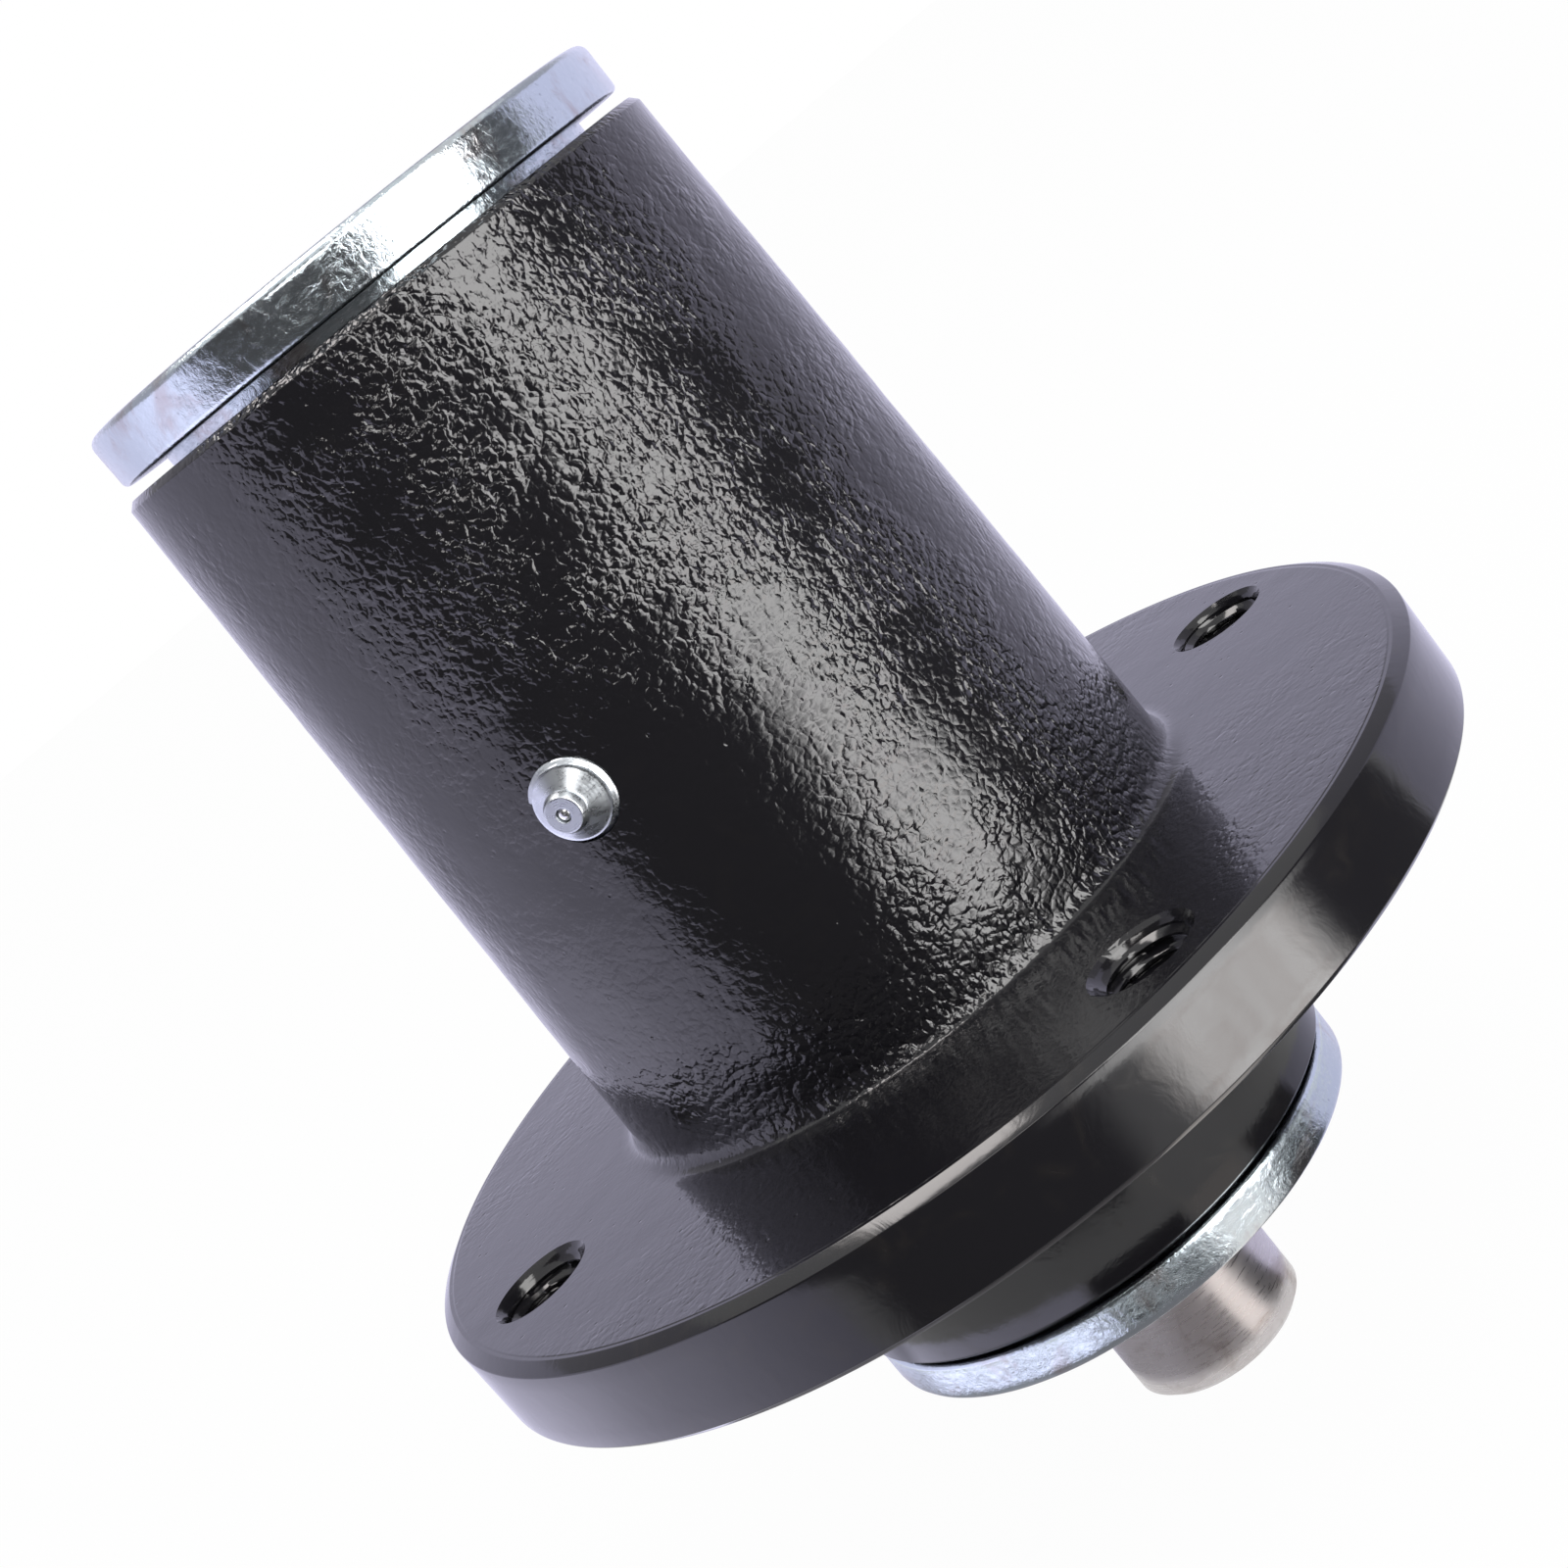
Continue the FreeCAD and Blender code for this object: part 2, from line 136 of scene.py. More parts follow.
def lattice_noise(points: np.ndarray, spacing: float, seed: int) -> np.ndarray:
    """Smooth noise from -1 to 1.

    Each corner of a cubic lattice has a fixed value hashed from its place. A point blends the
    eight values round it with the weights 6t^5 - 15t^4 + 10t^3 along each axis.

    Args:
        points: Places in mm, of shape (..., 3).
        spacing: Lattice spacing in mm.
        seed: Number that picks the set of corner values.

    Returns:
        One value for each point.
    """
    scaled = points / spacing
    cell = np.floor(scaled).astype(np.int64)
    part = scaled - cell
    fade = part**3 * (part * (6.0 * part - 15.0) + 10.0)
    total = np.zeros(points.shape[:-1])
    for corner in itertools.product((0, 1), repeat=3):
        place = (cell + np.array(corner)) * np.array([73856093, 19349663, 83492791])
        mixed = place[..., 0] ^ place[..., 1] ^ place[..., 2] ^ (seed * 83492797)
        mixed = ((mixed ^ (mixed >> 13)) * 1274126177) & 0x7FFFFFFF
        weight = np.prod(np.where(np.array(corner) == 1, fade, 1.0 - fade), axis=-1)
        total += weight * ((mixed % 10007) / 5003.0 - 1.0)
    return total


def corner_arc(before: np.ndarray, here: np.ndarray, after: np.ndarray, rounding: float, steps: int) -> np.ndarray:
    """Points of the arc that rounds a corner.

    With h half of the corner's inner angle, the arc starts rounding / tan(h) before the corner,
    its middle lies rounding / sin(h) along the bisector, and its points are even in angle.

    Args:
        before: Corner before it, as (radius, height).
        here: The corner itself.
        after: Corner after it.
        rounding: Radius of the arc.
        steps: Number of chords.

    Returns:
        Points of shape (steps + 1, 2).
    """
    back = unit(before - here)
    ahead = unit(after - here)
    half = math.acos(float(np.clip(back @ ahead, -1.0, 1.0))) / 2
    middle = here + unit(back + ahead) * rounding / math.sin(half)
    start = here + back * rounding / math.tan(half) - middle
    end = here + ahead * rounding / math.tan(half) - middle
    sweep = math.atan2(start[0] * end[1] - start[1] * end[0], float(start @ end))
    angle = np.linspace(0.0, sweep, steps + 1)
    across = start[0] * np.cos(angle) - start[1] * np.sin(angle)
    along = start[0] * np.sin(angle) + start[1] * np.cos(angle)
    return middle + np.stack([across, along], axis=-1)


def outline(corners: list[Corner], closed: bool = False, arc_steps: int = 3) -> np.ndarray:
    """Sample a turned outline, with its corners rounded and its long runs divided evenly.

    Args:
        corners: Corners in order.
        closed: Whether the last corner joins the first.
        arc_steps: Number of chords in each rounding.

    Returns:
        Points of shape (n, 2) as (radius, height).
    """
    places = np.array([(corner.radius, corner.height) for corner in corners], float)
    count = len(corners)
    stretches = []
    for index, corner in enumerate(corners):
        at_end = not closed and index in (0, count - 1)
        if at_end or corner.rounding == 0.0:
            stretches.append(places[index][None])
        else:
            before = places[index - 1]
            after = places[(index + 1) % count]
            stretches.append(corner_arc(before, places[index], after, corner.rounding, arc_steps))
    sampled = []
    for index, corner in enumerate(corners):
        sampled.append(stretches[index])
        if not closed and index == count - 1:
            break
        start = stretches[index][-1]
        end = stretches[(index + 1) % count][0]
        parts = max(1, math.ceil(np.linalg.norm(end - start) / corner.run_step))
        share = np.linspace(0.0, 1.0, parts + 1)[1:-1, None]
        sampled.append(start + (end - start) * share)
    return np.concatenate(sampled)


def turned_grid(profile: np.ndarray, columns: int) -> np.ndarray:
    """Turn an outline about Z: (r, h) at the angle a goes to (r cos a, r sin a, h).

    Args:
        profile: Outline of shape (rows, 2).
        columns: Number of even steps round the axis.

    Returns:
        Points of shape (rows, columns, 3).
    """
    angle = np.arange(columns) * 2.0 * math.pi / columns
    radius = profile[:, 0:1]
    height = np.repeat(profile[:, 1:2], columns, axis=1)
    return np.stack([radius * np.cos(angle), radius * np.sin(angle), height], axis=-1)


def grid_faces(rows: int, columns: int, closed_rows: bool = False) -> np.ndarray:
    """Quads between neighbouring points of a grid whose columns close on themselves.

    Args:
        rows: Number of rows.
        columns: Number of columns.
        closed_rows: Whether the last row also joins the first.

    Returns:
        Indices of shape (row gaps, columns, 4).
    """
    row, column = np.meshgrid(np.arange(rows if closed_rows else rows - 1), np.arange(columns), indexing="ij")
    below = (row + 1) % rows
    right = (column + 1) % columns
    corners = [row * columns + column, row * columns + right, below * columns + right, below * columns + column]
    return np.stack(corners, axis=-1)


def grid_surface(grid: np.ndarray, closed_rows: bool = False) -> Surface:
    """Make a surface of a whole grid of points, of shape (rows, columns, 3)."""
    faces = grid_faces(grid.shape[0], grid.shape[1], closed_rows)
    return Surface(grid.reshape(-1, 3), faces.reshape(-1, 4))


def turned_about_axis(surface: Surface, angle: float) -> Surface:
    """Turn a surface about Z by an angle in radians: x' = x cos a - y sin a, y' = x sin a + y cos a."""
    x, y, z = surface.points.T
    x_turned = x * math.cos(angle) - y * math.sin(angle)
    y_turned = x * math.sin(angle) + y * math.cos(angle)
    return Surface(np.stack([x_turned, y_turned, z], axis=-1), surface.faces)


def radial_shift(grid: np.ndarray, shift: np.ndarray) -> np.ndarray:
    """Move points away from Z by a shift in mm: (x, y) is scaled by 1 + shift / r."""
    radius = np.maximum(np.linalg.norm(grid[..., :2], axis=-1), 1e-9)
    moved = grid.copy()
    moved[..., :2] *= (1.0 + shift / radius)[..., None]
    return moved


def thread_ridge(height: np.ndarray, angle: np.ndarray, pitch: float) -> np.ndarray:
    """Height of a thread's ridge from 0 in its root to 1 on its crest.

    The phase is height / pitch - angle / 2 pi, so the ridge climbs one pitch in one turn. It is
    a tooth with straight flanks, cut flat at its root and its crest.

    Args:
        height: Places along the thread's axis, in mm.
        angle: Places round it, in radians.
        pitch: Rise in one turn, in mm.

    Returns:
        The ridge's share of the full depth.
    """
    phase = np.mod(height / pitch - angle / (2.0 * math.pi), 1.0)
    return np.clip((np.abs(2.0 * phase - 1.0) - 0.14) / 0.72, 0.0, 1.0)


def make_piece(name: str, surfaces: list[Surface], sharp_angle: float = 38.0) -> bpy.types.Object:
    """Weld surfaces into one closed mesh with its faces outwards, as a new object.

    Args:
        name: Name of the piece.
        surfaces: Surfaces that meet point on point along their borders.
        sharp_angle: Angle in degrees from which an edge is shaded sharp.

    Returns:
        The object, at the origin.
    """
    starts = np.cumsum([0] + [len(surface.points) for surface in surfaces[:-1]])
    points = np.concatenate([surface.points for surface in surfaces]) * MM
    faces = np.concatenate([surface.faces + start for surface, start in zip(surfaces, starts)])
    mesh = bpy.data.meshes.new(name)
    mesh.from_pydata(points, [], faces.tolist())
    work = bmesh.new()
    work.from_mesh(mesh)
    bmesh.ops.remove_doubles(work, verts=work.verts, dist=0.002 * MM)
    loose = [vertex for vertex in work.verts if not vertex.link_faces]
    bmesh.ops.delete(work, geom=loose, context="VERTS")
    bmesh.ops.recalc_face_normals(work, faces=work.faces)
    open_edges = sum(1 for edge in work.edges if len(edge.link_faces) != 2)
    work.to_mesh(mesh)
    work.free()
    mesh.shade_smooth()
    mesh.set_sharp_from_angle(angle=math.radians(sharp_angle))
    piece = bpy.data.objects.new(name, mesh)
    bpy.context.scene.collection.objects.link(piece)
    LOG.info("%s: %d faces, %d open edges", name, len(mesh.polygons), open_edges)
    return piece


# Finishes


class NodeGraph:
    """Node tree of one material, with short calls for the patterns that the finishes share."""

    def __init__(self, name: str) -> None:
        """Start a material with a Principled shader.

        Args:
            name: Name of the material.
        """
        self.material = bpy.data.materials.new(name)
        self.material.use_nodes = True
        self.tree = self.material.node_tree
        self.tree.nodes.clear()
        self.shader = self.tree.nodes.new("ShaderNodeBsdfPrincipled")
        output = self.tree.nodes.new("ShaderNodeOutputMaterial")
        self.tree.links.new(self.shader.outputs["BSDF"], output.inputs["Surface"])
        self.place = self.tree.nodes.new("ShaderNodeTexCoord").outputs["Object"]

    def feed(self, socket: bpy.types.NodeSocket, value: object) -> None:
        """Link an output to a socket, or set the socket's own value."""
        if isinstance(value, bpy.types.NodeSocket):
            self.tree.links.new(value, socket)
        else:
            socket.default_value = value

    def set(self, **values: object) -> None:
        """Set the shader's sockets, named with underscores for spaces."""
        for name, value in values.items():
            self.feed(self.shader.inputs[name.replace("_", " ").title().replace("Ior", "IOR")], value)

    def mapped(self, scale: tuple[float, float, float]) -> bpy.types.NodeSocket:
        """Object coordinates scaled along each axis."""
        node = self.tree.nodes.new("ShaderNodeMapping")
        self.feed(node.inputs["Vector"], self.place)
        self.feed(node.inputs["Scale"], scale)
        return node.outputs["Vector"]

    def noise(
        self,
        size: float,
        detail: float = 3.0,
        rough: float = 0.5,
        distortion: float = 0.0,
        stretch: tuple[float, float, float] = (1.0, 1.0, 1.0),
    ) -> bpy.types.NodeSocket:
        """Noise whose main features have a real size.

        Args:
            size: Size of the features, in mm.
            detail: Number of finer layers.
            rough: Share of the finer layers.
            distortion: How far the pattern is bent on itself.
            stretch: Factor on the coordinates along each axis.

        Returns:
            The noise value, from 0 to 1.
        """
        node = self.tree.nodes.new("ShaderNodeTexNoise")
        self.feed(node.inputs["Vector"], self.mapped(stretch))
        self.feed(node.inputs["Scale"], 1.0 / (size * MM))
        self.feed(node.inputs["Detail"], detail)
        self.feed(node.inputs["Roughness"], rough)
        self.feed(node.inputs["Distortion"], distortion)
        return node.outputs["Fac"]

    def strayed(self, size: float, reach: float) -> bpy.types.NodeSocket:
        """Move the place about by smooth noise of a real size, up to half of reach each way, both in mm."""
        noise = self.tree.nodes.new("ShaderNodeTexNoise")
        self.feed(noise.inputs["Vector"], self.place)
        self.feed(noise.inputs["Scale"], 1.0 / (size * MM))
        self.feed(noise.inputs["Detail"], 1.0)
        node = self.tree.nodes.new("ShaderNodeVectorMath")
        node.operation = "MULTIPLY_ADD"
        self.feed(node.inputs[0], noise.outputs["Color"])
        self.feed(node.inputs[1], (reach * MM, reach * MM, reach * MM))
        self.feed(node.inputs[2], self.place)
        return node.outputs["Vector"]

    def cells(self, size: float, spread: float = 1.0, stray: float = 0.0) -> bpy.types.NodeSocket:
        """Distance to the nearest of scattered points, in units of their real spacing in mm, on a place that strays."""
        node = self.tree.nodes.new("ShaderNodeTexVoronoi")
        self.feed(node.inputs["Vector"], self.strayed(size * 1.4, stray) if stray else self.place)
        self.feed(node.inputs["Scale"], 1.0 / (size * MM))
        self.feed(node.inputs["Randomness"], spread)
        return node.outputs["Distance"]

    def ramp(self, value: bpy.types.NodeSocket, low: float, high: float, bottom: float = 0.0, top: float = 1.0) -> bpy.types.NodeSocket:
        """Map a value smoothly from low..high to bottom..top."""
        node = self.tree.nodes.new("ShaderNodeMapRange")
        node.interpolation_type = "SMOOTHSTEP"
        self.feed(node.inputs["Value"], value)
        self.feed(node.inputs["From Min"], low)
        self.feed(node.inputs["From Max"], high)
        self.feed(node.inputs["To Min"], bottom)
        self.feed(node.inputs["To Max"], top)
        return node.outputs["Result"]

    def math(self, operation: str, first: object, second: object = 0.0) -> bpy.types.NodeSocket:
        """Apply a Math node to two values."""
        node = self.tree.nodes.new("ShaderNodeMath")
        node.operation = operation
        self.feed(node.inputs[0], first)
        self.feed(node.inputs[1], second)
        return node.outputs[0]

    def blend(self, share: bpy.types.NodeSocket, first: object, second: object) -> bpy.types.NodeSocket:
        """Mix two colours, where a share of 0 gives the first."""
        node = self.tree.nodes.new("ShaderNodeMix")
        node.data_type = "RGBA"
        self.feed(node.inputs["Factor"], share)
        self.feed(node.inputs[6], first)
        self.feed(node.inputs[7], second)
        return node.outputs[2]

    def bump(self, height: bpy.types.NodeSocket, depth: float, under: bpy.types.NodeSocket | None = None) -> bpy.types.NodeSocket:
        """Turn a height pattern into a normal.

        Args:
            height: Pattern from 0 to 1.
            depth: Depth that a height of 1 stands for, in mm.
            under: Normal that the pattern is laid over.

        Returns:
            The bumped normal.
        """
        node = self.tree.nodes.new("ShaderNodeBump")
        self.feed(node.inputs["Height"], height)
        self.feed(node.inputs["Distance"], depth * MM)
        if under is not None:
            self.feed(node.inputs["Normal"], under)
        return node.outputs["Normal"]

    def height(self) -> bpy.types.NodeSocket:
        """Object Z in metres."""
        node = self.tree.nodes.new("ShaderNodeSeparateXYZ")
        self.feed(node.inputs[0], self.place)
        return node.outputs["Z"]

    def along(self, direction: tuple[float, float, float]) -> bpy.types.NodeSocket:
        """Distance in metres from the origin along a unit direction."""
        node = self.tree.nodes.new("ShaderNodeVectorMath")
        node.operation = "DOT_PRODUCT"
        self.feed(node.inputs[0], self.place)
        self.feed(node.inputs[1], direction)
        return node.outputs["Value"]

    def distance(self, place: tuple[float, float, float]) -> bpy.types.NodeSocket:
        """Distance from a fixed place in metres."""
        node = self.tree.nodes.new("ShaderNodeVectorMath")
        node.operation = "DISTANCE"
        self.feed(node.inputs[0], self.place)
        self.feed(node.inputs[1], place)
        return node.outputs["Value"]

    def axis_distance(self) -> bpy.types.NodeSocket:
        """Distance from the Z axis in metres: the length of (x, y, 0)."""
        node = self.tree.nodes.new("ShaderNodeVectorMath")
        node.operation = "LENGTH"
        self.feed(node.inputs[0], self.mapped((1.0, 1.0, 0.0)))
        return node.outputs["Value"]


@dataclass(frozen=True)
class GlossBlackPaint:
    """Gloss black paint over a rough sand casting, smooth where the iron was machined first."""

    name: str = "gloss_black_paint"
    wrinkle_size: float = 1.1
    wrinkle_depth: float = 0.16
    plate_size: float = 5.0
    plate_depth: float = 0.06
    patch_size: float = 13.0
    grain_size: float = 0.5
    grain_depth: float = 0.012
    pit_spacing: float = 2.8
    pit_depth: float = 0.045
    cloud_size: float = 6.0
    wave_depth: float = 0.035
    machined_radius: float = 72.9
    smooth_place: tuple[float, float, float] = (-0.0250, -0.0320, 0.0440)
    coarse_side: tuple[float, float, float] = (-0.10, -0.995, 0.0)
    roughness: float = 0.11

    def build(self) -> bpy.types.Material:
        """Make the material."""
        graph = NodeGraph(self.name)
        inside_rim = graph.ramp(graph.axis_distance(), self.machined_radius * MM, (self.machined_radius - 0.4) * MM)
        above_flange = graph.ramp(graph.height(), 12.0 * MM, 12.6 * MM)
        cast = graph.math("MULTIPLY", inside_rim, above_flange)
        on_barrel = graph.ramp(graph.height(), 13.2 * MM, 14.0 * MM, 0.15, 1.0)
        beads = graph.cells(self.wrinkle_size, 1.0, self.wrinkle_size * 1.6)
        domes = graph.math("SUBTRACT", 1.0, graph.math("MULTIPLY", graph.math("POWER", beads, 2.0), 1.6))
        swells = graph.noise(self.wrinkle_size, 1.5, 0.5, 0.5)
        ridges = graph.math("ADD", domes, graph.math("MULTIPLY", swells, 1.6))
        plates = graph.ramp(graph.noise(self.plate_size, 2.0, 0.5, 1.2), 0.40, 0.50)
        patches = graph.ramp(graph.noise(self.patch_size, 2.0), 0.42, 0.62, 1.0, 0.35)
        round_port = graph.ramp(graph.distance(self.smooth_place), 14.0 * MM, 36.0 * MM, 0.22, 1.0)
        coarse_side = graph.ramp(graph.math("ABSOLUTE", graph.along(self.coarse_side)), 17.0 * MM, 35.0 * MM, 0.26, 1.0)
        strength = graph.math("MULTIPLY", graph.math("MULTIPLY", cast, on_barrel), graph.math("MULTIPLY", patches, round_port))
        strength = graph.math("MULTIPLY", strength, coarse_side)
        normal = graph.bump(graph.math("MULTIPLY", ridges, strength), self.wrinkle_depth)
        normal = graph.bump(graph.math("MULTIPLY", plates, graph.math("MULTIPLY", strength, 1.2)), self.plate_depth, normal)
        grain = graph.math("MULTIPLY", graph.noise(self.grain_size, 2.0), graph.ramp(cast, 0.0, 1.0, 0.10, 1.0))
        normal = graph.bump(grain, self.grain_depth, normal)
        pits = graph.math("MULTIPLY", graph.ramp(graph.cells(self.pit_spacing, 1.0, 1.0), 0.03, 0.12), cast)
        normal = graph.bump(pits, self.pit_depth, normal)
        clouds = graph.noise(self.cloud_size, 4.0, 0.6, 0.8)
        normal = graph.bump(clouds, self.wave_depth, normal)
        dull = graph.math("MULTIPLY", graph.ramp(clouds, 0.50, 0.80), graph.ramp(cast, 0.0, 1.0, 1.0, 0.25))
        tone = graph.blend(dull, (0.0105, 0.0100, 0.0125, 1.0), (0.017, 0.015, 0.015, 1.0))
        rough = graph.ramp(dull, 0.0, 1.0, self.roughness, self.roughness + 0.08)
        graph.set(base_color=tone, roughness=rough, normal=normal)
        return graph.material


@dataclass(frozen=True)
class PlatedSteel:
    """Zinc plated steel: a bluish bright skin over sheared metal, with faint brown stains."""

    name: str = "zinc_plate"
    clean: tuple[float, float, float, float] = (0.50, 0.56, 0.60, 1.0)
    stained: tuple[float, float, float, float] = (0.40, 0.37, 0.37, 1.0)
    speckle: tuple[float, float, float, float] = (0.20, 0.21, 0.24, 1.0)
    roughness: float = 0.15
    dent_size: float = 1.0
    dent_depth: float = 0.10
    wave_size: float = 4.0
    wave_depth: float = 0.05
    scratch_depth: float = 0.004

    def build(self) -> bpy.types.Material:
        """Make the material."""
        graph = NodeGraph(self.name)
        stains = graph.ramp(graph.noise(9.0, 4.0, 0.6, 0.6), 0.52, 0.70, 0.0, 0.8)
        specks = graph.ramp(graph.noise(0.8, 3.0, 0.6), 0.66, 0.76, 0.0, 0.55)
        colour = graph.blend(specks, graph.blend(stains, self.clean, self.stained), self.speckle)
        scratches = graph.noise(0.7, 4.0, 0.7, 0.6, (0.35, 0.35, 1.0))
        rough = graph.ramp(scratches, 0.35, 0.75, self.roughness - 0.04, self.roughness + 0.10)
        hammered = graph.ramp(graph.noise(7.0, 2.0), 0.36, 0.60, 0.40, 1.0)
        dents = graph.math("MULTIPLY", graph.noise(self.dent_size, 4.0, 0.68, 0.5), hammered)
        normal = graph.bump(graph.noise(self.dent_size * 0.4, 2.0, 0.6, 0.3), self.dent_depth * 0.16)
        normal = graph.bump(dents, self.dent_depth, normal)
        normal = graph.bump(graph.noise(self.wave_size, 1.0), self.wave_depth, normal)
        normal = graph.bump(scratches, self.scratch_depth, normal)
        graph.set(base_color=colour, metallic=1.0, roughness=rough, normal=normal)
        return graph.material


@dataclass(frozen=True)
class BareSteel:
    """Bare steel with grinding or turning marks round the spindle's axis."""

    name: str
    clean: tuple[float, float, float, float]
    stained: tuple[float, float, float, float]
    roughness: float
    mark_size: float = 0.35
    mark_depth: float = 0.0015

    def build(self) -> bpy.types.Material:
        """Make the material."""
        graph = NodeGraph(self.name)
        marks = graph.noise(self.mark_size, 3.0, 0.65, 0.0, (0.06, 0.06, 1.0))
        stains = graph.ramp(graph.noise(6.5, 4.0, 0.65, 0.7), 0.50, 0.76, 0.0, 0.8)
        graph.set(
            base_color=graph.blend(stains, self.clean, self.stained),
            metallic=1.0,
            roughness=graph.ramp(marks, 0.3, 0.75, self.roughness - 0.06, self.roughness + 0.12),
            normal=graph.bump(marks, self.mark_depth),
        )
        return graph.material


@dataclass(frozen=True)
class SealRubber:
    """Matt black nitrile rubber with a faint moulded grain."""

    name: str = "seal_rubber"
    roughness: float = 0.55

    def build(self) -> bpy.types.Material:
        """Make the material."""
        graph = NodeGraph(self.name)
        grain = graph.noise(0.4, 3.0)
        graph.set(
            base_color=graph.blend(grain, (0.014, 0.014, 0.015, 1.0), (0.030, 0.029, 0.028, 1.0)),
            roughness=graph.ramp(grain, 0.2, 0.8, self.roughness - 0.08, self.roughness + 0.08),
            normal=graph.bump(grain, 0.01),
        )
        return graph.material


class Finish(Enum):
    """The spindle's finishes, each named as its slot in the record."""

    BLACK_CASTING = GlossBlackPaint()
    ZINC_PLATE = PlatedSteel()
    BRIGHT_ZINC = PlatedSteel(
        name="bright_zinc",
        clean=(0.50, 0.53, 0.56, 1.0),
        stained=(0.42, 0.44, 0.46, 1.0),
        speckle=(0.33, 0.34, 0.36, 1.0),
        roughness=0.29,
        dent_size=0.6,
        dent_depth=0.003,
        wave_depth=0.0,
        scratch_depth=0.001,
    )
    GROUND_STEEL = BareSteel("ground_steel", (0.56, 0.53, 0.53, 1.0), (0.33, 0.28, 0.26, 1.0), 0.30)
    PLAIN_STEEL = BareSteel("plain_steel", (0.50, 0.50, 0.51, 1.0), (0.36, 0.34, 0.33, 1.0), 0.34)
    BEARING_STEEL = BareSteel("bearing_steel", (0.60, 0.60, 0.62, 1.0), (0.50, 0.48, 0.46, 1.0), 0.22)
    CAGE_STEEL = BareSteel("cage_steel", (0.42, 0.41, 0.40, 1.0), (0.30, 0.28, 0.26, 1.0), 0.42)
    SPRING_STEEL = BareSteel("spring_steel", (0.12, 0.12, 0.13, 1.0), (0.07, 0.06, 0.06, 1.0), 0.45)
    SEAL_RUBBER = SealRubber()

    def slot(self) -> str:
        """Name of the record's material slot."""
        return self.name.lower()


class PaintShop:
    """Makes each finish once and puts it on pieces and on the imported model's nodes."""

    def __init__(self) -> None:
        """Start with no finish made."""
        self.made: dict[Finish, bpy.types.Material] = {}

    def material(self, finish: Finish) -> bpy.types.Material:
        """Give a finish's material, making it the first time."""
        if finish not in self.made:
            self.made[finish] = finish.value.build()
        return self.made[finish]

    def dress(self, piece: bpy.types.Object, finish: Finish, body: str, node: str) -> None:
        """Finish a new piece that stands for a node.

        Args:
            piece: The new piece.
            finish: Its finish.
            body: Body that it rides on.
            node: Node that it stands for.
        """
        piece.data.materials.append(self.material(finish))
        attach(piece, body)
        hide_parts(node)

    def dress_node(self, node: bpy.types.Object, finish: Finish) -> None:
        """Finish a node that keeps its own mesh."""
        if not node.material_slots:
            node.data.materials.append(self.material(finish))
        for held in node.material_slots:
            held.material = self.material(finish)


# Sub-assemblies


